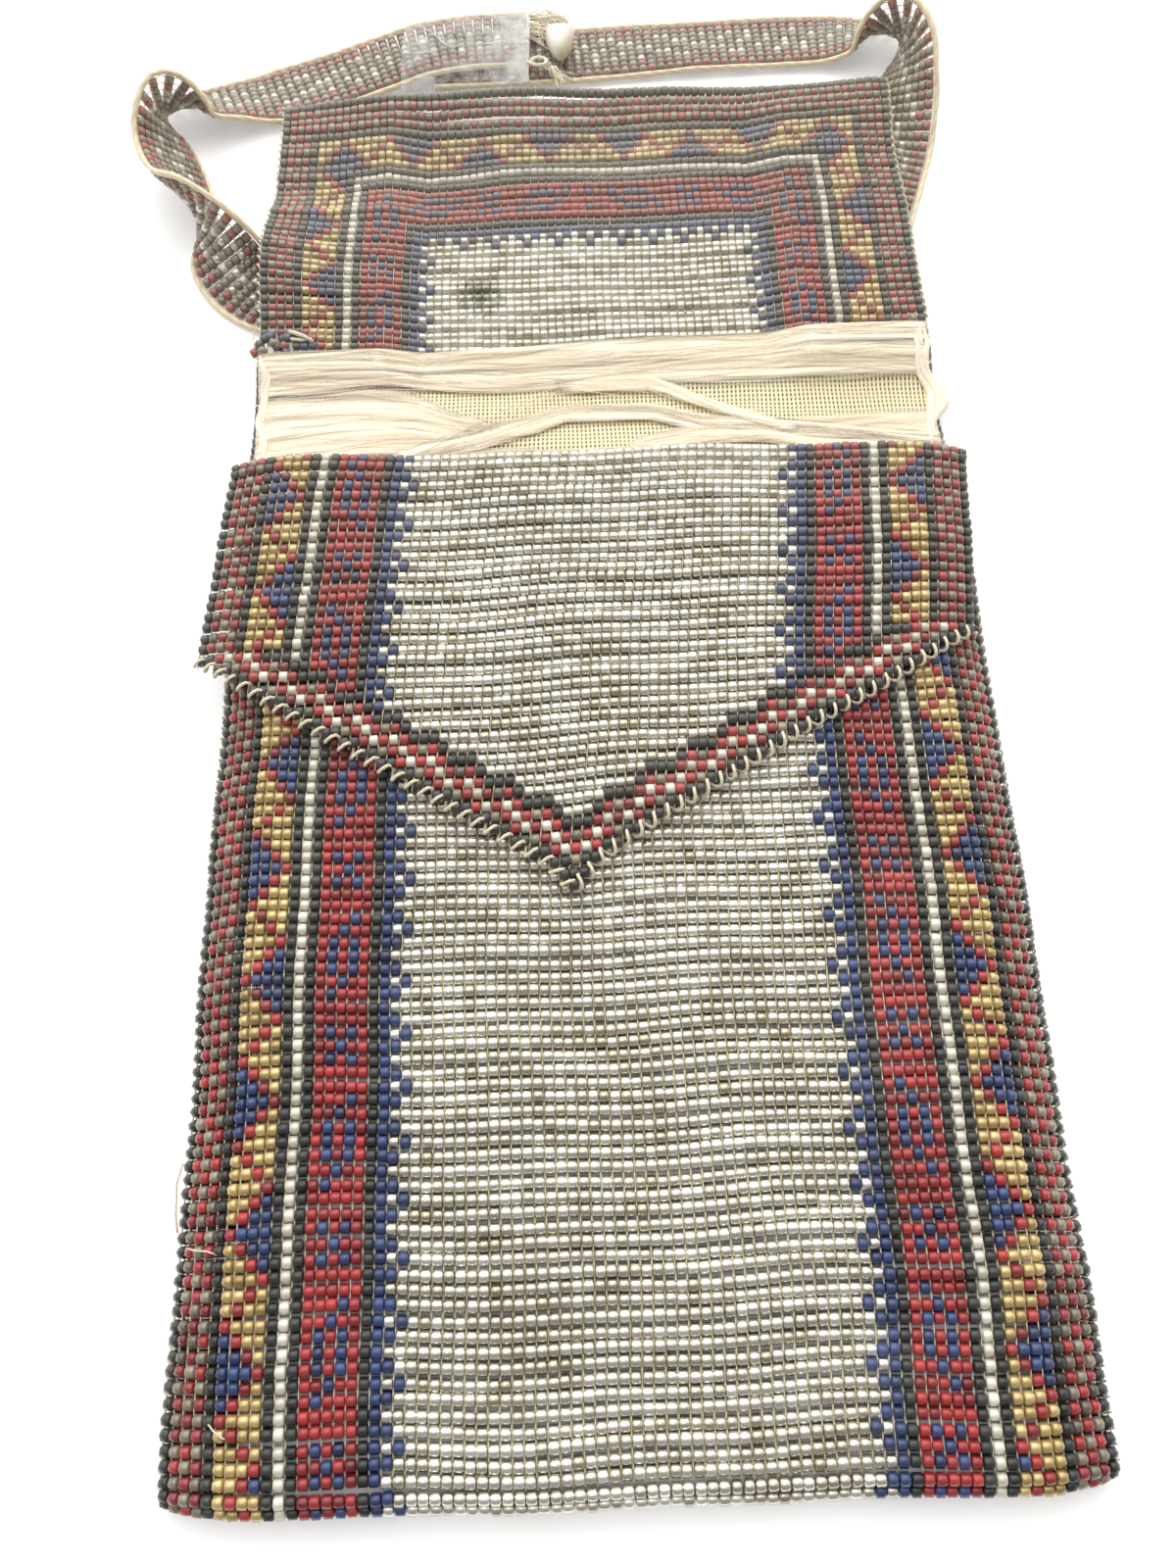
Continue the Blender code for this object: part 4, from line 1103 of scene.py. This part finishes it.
level_threads = [gauze_level(reach) for reach in np.arange(-3 * MM, 31.2 * MM, 0.96 * MM)]
upright_threads = [gauze_upright(x) for x in np.arange(-SHOWN_HALF, SHOWN_HALF, 0.82 * MM)]
net = tube_mesh("gauze_net", level_threads + upright_threads, 0.19 * MM, 4, GAUZE, "gauze", wide=1.6)
gauze = join_pieces([net, hidden_sheet("gauze_sheet", GAUZE_OFFSET, LINING_HALF)], "gauze_interlining_net")
add_tints(gauze, 0.2, 1.0)
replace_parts(gauze, "gauze_interlining")

# %% [markdown]
# The silk's bundles are drawn by guide lines. Each line is given by a few places across the lining with how
# far above the mouth they lie, both in millimetres. A bundle fills the stretch between two guides with many
# strands, and each strand wanders a little on its own.

# %% Guides of the silk's bundles
BUNDLES = [
    # upper guide, lower guide, strands, from x, to x, lift
    ([(-66, 30.4), (-40, 31.6), (0, 32.6), (33, 33.8), (66, 34.2)],
     [(-66, 27), (-40, 27), (0, 27.5), (33, 29.5), (66, 30)], 26, -65.0, 66.0, 0.8),
    ([(-66, 27.5), (-40, 27), (0, 28), (33, 30), (66, 30)],
     [(-66, 21), (-40, 24), (-20, 21.5), (0, 22), (33, 23), (66, 23)], 34, -65.5, 66.0, 0.55),
    ([(-66, 22.5), (-45, 24), (-36, 22.5), (-28, 17), (-16, 12)],
     [(-66, 4), (-45, 6), (-30, 8), (-16, 10)], 44, -65.5, -17.0, 0.45),
    ([(-66, 9), (-53, 6), (-41, 6), (-33, 9.5), (-24, 11.5), (-12, 15), (-6, 17.5), (11, 17), (20, 14),
      (36, 12.5), (50, 11), (67, 9)],
     [(-66, 4), (-53, 3), (-41, 4), (-33, 6), (-24, 8), (-12, 11.5), (-6, 14), (11, 14), (20, 11), (36, 10),
      (50, 9), (67, 6)], 30, -65.0, 66.0, 0.9),
    ([(1, 3), (8, 9), (20, 12), (32, 11.5), (41, 9.5), (53, 8), (67, 8)],
     [(1, 1), (8, 5), (20, 8), (32, 8.5), (41, 6), (53, 5), (67, 5)], 22, 0.0, 66.0, 1.1),
    ([(3, 3), (17, 7), (32, 6.5), (41, 5)], [(3, 1.5), (17, 4.5), (32, 4.5), (41, 3.5)], 10, 3.0, 62.0, 0.8),
    ([(-66, 4), (-47, 3), (-38, 4.5), (-30, 7), (-12, 7), (2, 5), (21, 6)],
     [(-66, 0), (-47, 0), (-38, 1.5), (-30, 4.5), (-12, 5), (2, 2.5), (21, 3.5)], 22, -65.0, 22.0, 0.7),
    ([(-35, 6.5), (-18, 16), (-6, 22), (5, 21)],
     [(-35, 5.5), (-18, 15), (-6, 21), (5, 19)], 7, -35.0, 9.0, 1.2),
    ([(-2, 23), (10, 23.5), (18, 19.5), (27, 15.5), (36, 12.5)],
     [(-2, 21), (10, 21.5), (18, 18), (27, 14), (36, 11)], 9, -8.0, 40.0, 1.1),
    ([(30, 13), (66, 16)], [(30, 8), (66, 2)], 20, 34.0, 66.0, 0.5),
    ([(-66, 3), (66, 3)], [(-66, -2), (66, -2)], 16, -64.0, 64.0, 0.3),
]


def guide(places):
    x, reach = np.array(places, float).T
    return lambda at: np.interp(at, x * MM, reach * MM)


print("bundles of silk:", len(BUNDLES))

# %% [markdown]
# A bundle of nine strands or more is made twice, one on the other: as a thin ribbon with shallow folds, which
# closes the view, and as loose strands over it, which give the cloth its lines. A smaller bundle has strands
# only.

# %% One strand, and one ribbon
def strand(upper, lower, share, start, end, lift):
    x = np.linspace(start, end, max(8, int((end - start) / (3.4 * MM))))
    phase, slow = chance.uniform(0, 6.3), chance.uniform(9, 19)
    wander = 1.1 * MM * np.sin(x / MM / slow + phase) + 0.22 * MM * np.sin(x / MM / 3.6 + 2 * phase)
    reach = lower(x) + (upper(x) - lower(x)) * share + wander
    rise = lift * (0.5 + 0.5 * math.sin(math.pi * share))
    rise = rise + 0.25 * MM * np.sin(x / MM / slow * 1.7 + phase * 3)
    return on_lining(x, np.minimum(reach, lining_edge(x)), 0.60 * MM + rise.clip(-0.1 * MM) * 0.5)


SPREAD = 0.9 * MM
SIDE_START = 60


def end_share(x, start, end):
    """1 along a bundle, and 0 at each end that stops short of the lining's sides."""
    share = np.clip((x - start * MM) / (6 * MM), 0, 1) if start > -SIDE_START else np.ones_like(x)
    return share * (np.clip((end * MM - x) / (6 * MM), 0, 1) if end < SIDE_START else 1.0)


def cloth_ribbon(upper, lower, start, end, lift):
    """A strip of silk between two guides, with shallow folds along it: its places and its map."""
    x = np.arange(start, end, 1.5) * MM
    width = float(np.max(upper(x) - lower(x))) + 2 * SPREAD
    rows = max(6, int(width / (0.5 * MM)))
    phase = chance.uniform(0, 6.3, 3)
    places, own_map, cover = [], [], []
    for share in np.linspace(0.0, 1.0, rows):
        wander = 0.35 * MM * np.sin(x / MM / 11 + phase[0]) * math.sin(math.pi * share)
        frayed = 0.3 * MM * np.sin(x / MM / 2.3 + phase[1]) * (abs(share - 0.5) == 0.5)
        reach = lower(x) - SPREAD + (upper(x) - lower(x) + 2 * SPREAD) * share + wander + frayed
        reach = np.minimum(reach, lining_edge(x))
        wave = np.sin(share * width / MM * 1.3 + x / MM / 15 + phase[2])
        wave = wave + 0.45 * np.sin(share * width / MM * 3.1 - x / MM / 7 + phase[1])
        edge = min(1.0, 4 * min(share, 1 - share) + 0.15)
        places.append(on_lining(x, reach, 0.45 * MM + lift * MM * 0.5 + 0.19 * MM * wave * edge))
        own_map.append(np.column_stack([x, reach]))
        cover.append(end_share(x, start, end) * min(1.0, 3.2 * min(share, 1 - share)))
    return np.array(places), np.array(own_map), np.array(cover)


print("silk spreads past its guides in mm:", SPREAD / MM)


# %% Ribbons as one mesh
def ribbon_mesh(name, ribbons):
    points, faces, corners, start = [], [], [], 0
    for places, own_map, cover in ribbons:
        rows, columns = places.shape[:2]
        grid = np.arange(rows * columns).reshape(rows, columns)
        quads = np.stack([grid[:-1, :-1], grid[:-1, 1:], grid[1:, 1:], grid[1:, :-1]], axis=-1).ravel()
        faces.append(start + quads)
        points.append(places.reshape(-1, 3))
        corners.append(own_map.reshape(-1, 2)[quads])
        start += rows * columns
    faces = np.concatenate(faces)
    cloth = mesh_piece(name, np.concatenate(points), faces, np.full(len(faces) // 4, 4))
    give_map(cloth, np.concatenate(corners))
    smooth_piece(cloth, THIN_SILK)
    covered = cloth.data.attributes.new("cover", "FLOAT", "POINT")
    covers = np.concatenate([cover.ravel() for *_, cover in ribbons])
    covered.data.foreach_set("value", covers.astype(np.float32))
    pick_only(cloth)
    give_wall(cloth, 0.05 * MM)
    print(f"{name}: {len(ribbons)} ribbons, {2 * len(cloth.data.polygons)} triangles")
    return cloth


def ragged(place, inward):
    """Where one strand of a bundle ends: near its side of the lining, or up to 5 mm further in."""
    short = chance.uniform(0, 5) if abs(place) < SIDE_START else chance.uniform(-0.6, 0.6)
    return (place + inward * short) * MM


LEAST_RIBBON = 9
STRAND_SHARE = 0.8
strands, thickness, ribbons = [], [], []
for upper, lower, number, start, end, lift in BUNDLES:
    upper, lower = guide(upper), guide(lower)
    if number >= LEAST_RIBBON:
        ribbons.append(cloth_ribbon(upper, lower, start, end, lift))
    number = round(number * STRAND_SHARE)
    for share in (np.arange(number) + chance.uniform(0.2, 0.8, number)) / number:
        line = strand(upper, lower, share, ragged(start, 1), ragged(end, -1), lift * MM)
        taper = np.interp(np.arange(len(line)), (0, 1, len(line) - 2, len(line) - 1), (0.5, 1, 1, 0.5))
        strands.append(line)
        thickness.append(taper * chance.uniform(0.030, 0.060) * MM)
loose = tube_mesh("silk_strands", strands, thickness, 4, LOOSE_SILK, "silk", wide=1.8)
cloth = ribbon_mesh("silk_ribbons", ribbons)
silk_sheet = hidden_sheet("silk_sheet", SILK_OFFSET, LINING_HALF)
silk = join_pieces([loose, cloth, silk_sheet], "silk_lining_strands")
add_tints(silk)
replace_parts(silk, "silk_lining")

# %% [markdown]
# At the sides the silk is still whole: it is turned under and gathered. Each fold there is a soft tube whose
# thickness and place change along it, with the strands running into it.

# %% The gathered sides of the silk
FOLD_PLACES = 30


def side_fold(side, number):
    """One of the gathered folds along a side of the silk. The right side bulges out at its middle."""
    reach = np.linspace(-5 * MM, float(lining_edge(side * SHOWN_HALF)) - 0.3 * MM, FOLD_PLACES)
    bulge = 2.6 * MM * np.exp(-((reach - 18 * MM) / (4.0 * MM)) ** 2) * (side > 0)
    sway = 0.35 * np.sin(reach / MM / (2.2 + 0.7 * number) + 2 * number)
    sway += 0.2 * np.sin(reach / MM / 1.1 + number)
    x = side * (SHOWN_HALF - (0.5 + 0.75 * number - sway) * MM + bulge * (1 - 0.15 * number))
    fat = (0.42 + 0.12 * np.sin(reach / MM / 1.9 + 3 * number)) * MM
    taper = np.interp(np.arange(FOLD_PLACES), (0, 2, FOLD_PLACES - 3, FOLD_PLACES - 1), (0.4, 1, 1, 0.3))
    fat = fat * taper + 0.12 * bulge
    return on_lining(x, reach, (0.75 - 0.08 * number) * MM), fat


folds = [side_fold(side, number) for side, number in ((-1, 0), (-1, 1), (1, 0), (1, 1), (1, 2))]
rolls = tube_mesh("silk_side_folds", *map(list, zip(*folds)), 8, SILK, "silk", wide=1.3)
add_tints(rolls, 0.4, 0.8)

# %% [markdown]
# ## The repair at the strap's break
# A knot of white thread, wound smooth, holds the right half. Clear tape was later wrapped round both ends. It
# has a milky bloom that hides more in some places than in others, and most near its right end. The tape is a
# row of rings joined by faces, a little wrinkled, and given a thin wall.

# %% The tape
RINGS = 34
RING_PLACES = 40


def tape_ring(x):
    """One turn round both ends of the strap: a flat oval, high over the band and low on its near side."""
    centre = np.interp(x, (-40 * MM, -11 * MM), (194.4 * MM, 196.4 * MM))
    turn = np.arange(RING_PLACES) * 2 * math.pi / RING_PLACES
    cos, sin = np.cos(turn), np.sin(turn)
    across = np.sign(cos) * np.abs(cos) ** 0.6
    y = centre + 10.3 * MM * across
    low_side = 1.0 - 0.45 * ease((-0.35 - across) / 0.4)
    z = 2.75 * MM + 2.55 * MM * np.sign(sin) * np.abs(sin) ** 0.45 * np.where(sin > 0, low_side, 1.0)
    wrinkle = 0.22 * np.sin(turn * 3 + x / MM * 0.7) * np.sin(x / MM * 0.45 + 0.4)
    wrinkle += 0.1 * np.sin(x / MM * 1.6 + turn * 5)
    return np.column_stack([x + 0.35 * MM * np.sin(turn * 2), y, z + wrinkle * MM * (sin > 0)])


rings = [tape_ring(x) for x in np.linspace(-39.5 * MM, -11.6 * MM, RINGS)]
tape_faces = []
for row in range(0, (RINGS - 1) * RING_PLACES, RING_PLACES):
    for column in range(RING_PLACES):
        after = (column + 1) % RING_PLACES
        tape_faces += [row + column, row + after, row + RING_PLACES + after, row + RING_PLACES + column]
tape = mesh_piece("clear_tape_wrap", np.concatenate(rings), tape_faces, np.full(len(tape_faces) // 4, 4))
pick_only(tape)
bpy.ops.object.mode_set(mode="EDIT")
bpy.ops.mesh.select_all(action="SELECT")
bpy.ops.mesh.normals_make_consistent(inside=False)
bpy.ops.object.mode_set(mode="OBJECT")
give_wall(tape, 0.08 * MM)
bpy.ops.object.shade_smooth_by_angle(angle=0.6)
print("tape faces:", len(tape.data.polygons))

# %% The tape's finish
film = Finish("creased clear tape", Roughness=0.16)
bloom = film.noise(260.0, 4.0)
at_end = ((film.part(0) + 23 * MM) * 90.0).clamped()
film.to("Base Color", film.blend(bloom, colour(222, 220, 214), colour(252, 252, 250)))
film.to("Alpha", (bloom * (0.50 + at_end * 0.6) - 0.14).clamped())
film.to("Normal", film.bump(bloom, 0.5, 0.3 * MM))
tape.data.materials.append(film.material)
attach(tape, "root")
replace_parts(tape, "repair_tape")
print("tape finish:", film.material.name)

# %% [markdown]
# Light glints along each fold of the tape as a sharp white line with short whiskers. This painted highlight
# is made of thin white tubes that lie on the film.

# %% Painted highlights on the tape's folds
FILM_TOP = 5.35
CREASES = [
    [(-36.0, 201.8), (-33.0, 199.3), (-30.5, 196.0), (-28.5, 194.3), (-26.8, 195.6), (-25.2, 196.3)],
    [(-39.0, 192.8), (-36.0, 193.2), (-33.0, 193.3)],
    [(-25.2, 196.3), (-21.0, 195.4), (-16.5, 196.6)],
    [(-12.2, 198.0), (-11.9, 201.5), (-11.8, 204.8)],
]
WHISKERS = [(-32.5, 198.2), (-30.4, 196.2), (-29.0, 195.0), (-27.6, 195.4), (-26.0, 196.4), (-31.2, 197.0)]
highlight_ridges = [np.array([(x, y, FILM_TOP) for x, y in line]) * MM for line in CREASES]
for x, y in WHISKERS:
    tip = (x + chance.uniform(-0.6, 0.9), y + chance.uniform(0.8, 1.9), FILM_TOP)
    highlight_ridges.append(np.array([(x, y, FILM_TOP - 0.05), tip]) * MM)
# Pure white tubes: a painted highlight where light glints on the folds of the clear tape.
crease_highlight_finish = Finish("painted tape highlight", Base_Color=colour(255, 255, 255), Roughness=0.25)
ridge_radii = [np.interp(np.linspace(0, 1, len(line)), (0, 0.5, 1), (0.35, 1, 0.35)) * 0.16 * MM
               for line in highlight_ridges]
tube_mesh("tape_fold_highlights", highlight_ridges, ridge_radii, 4, crease_highlight_finish.material, "clear_tape")

# %% [markdown]
# The knot is wound smooth and looks like pearl: flat on its far side, narrow on its near side, white on the
# left and turning beige towards its right and its near side. A ball is added in the place of the solid knot,
# and its points are then moved: those on the far side out towards a box and up to a flat end, those on the
# near side towards a point.

# %% The knot
SQUARENESS = 3.2
knot_low, knot_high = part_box("joint_knot")
middle = (knot_low + knot_high) / 2
size = knot_high - knot_low
tidy_selection()
bpy.ops.mesh.primitive_uv_sphere_add(segments=32, ring_count=20, radius=0.5, location=middle)
knot = bpy.context.object
knot.name = "wound_knot"
knot.scale = size
bpy.ops.object.transform_apply()
for vertex in knot.data.vertices:
    x, y, z = (vertex.co[axis] - middle[axis] for axis in range(3))
    shares = (2 * x / size[0], 2 * y / size[1], 2 * z / size[2])
    far = shares[1]
    box_reach = sum(abs(share) ** SQUARENESS for share in shares) ** (-1 / SQUARENESS)
    boxy = 1 + (box_reach - 1) * float(ease(far + 0.6)) * 0.8
    wide = 1.0 + 0.30 * far + 0.16 * (1 - far ** 2)
    vertex.co.x = middle.x + x * wide * boxy * 0.86
    vertex.co.y = middle.y + min(y, 0.25 * size[1] + 0.03 * x)
    vertex.co.z = middle.z + z * boxy
wound = Finish("wound white thread", Roughness=0.30, Coat_Weight=0.35)
across_knot = wound.part(0) - float(middle.x)
down_knot = wound.part(1) - float(middle.y)
# The colour turns beige towards the knot's right and towards its near side.
beige_right_and_near = (across_knot / (4.6 * MM) - down_knot / (9 * MM) + wound.noise(260.0, 3.0) * 0.5 - 0.15).clamped()
wind = (down_knot * (2 * math.pi / (0.5 * MM)) + wound.noise(300.0) * 4.0).sine()
wound.to("Base Color", wound.blend(beige_right_and_near, colour(250, 246, 236), colour(196, 178, 140)))
wound.to("Normal", wound.bump(wind, 0.15, 0.04 * MM))
knot.data.materials.append(wound.material)
bpy.ops.object.shade_smooth()
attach(knot, "root")
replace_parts(knot, "joint_knot")
print("knot size in mm:", [round(v / MM, 1) for v in size])

# %% [markdown]
# Round the knot the broken cords have come undone into cotton fibres. Each wisp of them leaves one place and
# spreads towards another. A few threads hang loose at the tear and along the left side.

# %% Loose fibres and threads
def wisp(start, end, number, spread, sag, radius):
    """Fibres that leave one place together and spread out towards another."""
    fibres = []
    share = np.linspace(0, 1, 9)[:, None]
    for _ in range(number):
        away = np.array(end) + chance.normal(0, 1, 3) * spread - np.array(start)
        curl = chance.normal(0, 1, 3) * spread * 0.6
        line = np.array(start) + chance.normal(0, 0.25, 3) + away * share
        line += curl * np.sin(share * math.pi * 1.5)
        line[:, 2] += sag * np.sin(share[:, 0] * math.pi)
        line[:, 2] = np.maximum(line[:, 2], 0.3)
        fibres.append(line * MM)
    return fibres, [np.linspace(1.0, 0.5, 9) * chance.uniform(0.7, 1.3) * radius * MM for _ in range(number)]


frayed, frayed_radii = [], []
for start, end, number, spread, sag, radius in (
        ((-12.6, 204.8, 4.0), (-6.0, 203.4, 4.2), 30, (1.2, 0.8, 0.4), 0.6, 0.16),
        ((-12.4, 202.4, 3.6), (-7.4, 201.4, 3.8), 34, (0.9, 1.1, 0.4), 0.3, 0.17),
        ((-12.4, 200.6, 3.0), (-8.6, 198.4, 3.2), 16, (0.6, 0.8, 0.4), 0.2, 0.15),
        ((-3.0, 203.2, 2.8), (-9.0, 204.4, 4.4), 26, (1.2, 0.7, 0.4), 0.8, 0.16),
        ((-8.5, 203.5, 3.8), (-7.8, 199.0, 3.0), 10, (0.5, 0.8, 0.3), 0.2, 0.13),
        ((-7.0, 190.4, 3.4), (-4.8, 186.6, 2.2), 16, (0.5, 0.6, 0.4), 0.3, 0.17),
        ((-8.2, 191.0, 3.0), (-2.4, 188.4, 1.8), 12, (0.8, 0.4, 0.3), 0.2, 0.13)):
    lines, radii = wisp(start, end, number, np.array(spread), sag, radius)
    frayed += lines
    frayed_radii += radii
turn = np.linspace(-2.6, 3.1, 20)
loop = np.column_stack([-9.7 + 1.75 * np.cos(turn), 191.2 + 1.5 * np.sin(turn), 4.3 - 0.25 * np.sin(turn)])
loop = np.concatenate([[(-12.4, 191.2, 4.4)], loop]) * MM
frayed.append(loop)
frayed_radii.append(np.full(len(loop), 0.48 * MM))
tube_mesh("frayed_cord_ends", frayed, frayed_radii, 4, FLUFF, "cotton_cord")

HANGING = [  # radius, then four places along the thread
    (0.42, [(-60.4, 119.4, 3.6), (-59.0, 118.2, 4.6), (-57.2, 117.2, 4.8), (-55.4, 116.4, 4.0)]),
    (0.34, [(-60.8, 118.0, 3.4), (-59.4, 117.0, 4.2), (-57.6, 116.6, 4.3), (-55.8, 117.2, 3.9)]),
    (0.13, [(-67.4, 121.0, 3.0), (-67.6, 118.2, 3.0), (-67.2, 115.0, 2.2), (-66.4, 113.6, 2.0)]),
    (0.13, [(-59.9, -73.2, 7.2), (-58.9, -73.9, 8.2), (-57.6, -74.9, 8.1), (-56.6, -75.3, 7.4)]),
    (0.14, [(-65.2, -50.2, 6.2), (-63.2, -50.6, 8.4), (-61.4, -50.7, 9.4), (-59.6, -51.3, 9.0)]),
    (0.16, [(-67.8, -38.0, 3.0), (-68.6, -41.0, 2.6), (-68.4, -45.5, 2.4), (-67.8, -48.0, 2.8)]),
]
tube_mesh("loose_threads", [np.array(line) * MM for _, line in HANGING],
          [np.full(len(line), radius * MM) for radius, line in HANGING], 5, THREAD, "warp_thread")

# %% [markdown]
# ## Floor and light
# The purse lies on a plain white table. Most of the light comes from the sky, which is bright on the far side
# and dim on the near one, so each metal bead is bright on its far side and dark on the near one, as in the
# photograph. Two weak lamps, large and so soft, add the shadow's shape. The table glows a little, but only
# where the camera, a glossy bead or a clear thing sees it, so it shows white and sends no light to the cloth.

# %% The floor
tidy_selection()
bpy.ops.mesh.primitive_plane_add(size=4.0, location=(0.0, 0.0, -0.0002))
floor = bpy.context.object
floor.name = "floor"
paper = Finish("white table", Roughness=0.9)
paper.to("Base Color", paper.blend(paper.noise(3.0), colour(240, 240, 240), colour(246, 246, 247)))
camera_ray, glossy_ray, clear_ray = (paper.add("ShaderNodeLightPath", output=f"Is {kind} Ray")
                                     for kind in ("Camera", "Glossy", "Transmission"))
seen = (camera_ray + glossy_ray + clear_ray).clamped()
paper.shader.inputs["Emission Strength"].default_value = 1.0
paper.to("Emission Color", paper.blend(seen, (0.0, 0.0, 0.0, 1.0), (0.30, 0.30, 0.30, 1.0)))
floor.data.materials.append(paper.material)
print("floor:", paper.material.name)


# %% The lamps and the sky
def soft_lamp(name, place, target, size, power):
    bpy.ops.object.light_add(type="AREA", location=place)
    lamp = bpy.context.object
    lamp.name = name
    lamp.data.shape = "RECTANGLE"
    lamp.data.size, lamp.data.size_y = size
    lamp.data.energy = power
    lamp.rotation_euler = (Vector(target) - Vector(place)).to_track_quat("-Z", "Y").to_euler()
    print(f"{name}: {power} W")


soft_lamp("far lamp", (0.05, 0.72, 0.62), (0.0, 0.10, 0.0), (1.5, 0.8), 3.8)
soft_lamp("top lamp", (-0.2, 0.35, 1.1), (0.0, 0.05, 0.0), (1.0, 0.9), 2.8)
NEAR_SKY = 0.33
SKY_RANGE = 0.95
world = bpy.data.worlds.new("studio")
world.use_nodes = True
sky = world.node_tree
background = sky.nodes["Background"]
background.inputs["Color"].default_value = (1.0, 0.99, 0.97, 1.0)
towards = Finish.node(sky, "ShaderNodeTexCoord", {}, {}, "Generated")
far_side = Finish.node(sky, "ShaderNodeSeparateXYZ", {}, {0: towards}, 1)
brightness = (far_side * 1.5 + 0.58).clamped() * SKY_RANGE + NEAR_SKY
sky.links.new(brightness.socket, background.inputs["Strength"])
bpy.context.scene.world = world
bpy.context.scene.view_settings.view_transform = "Standard"
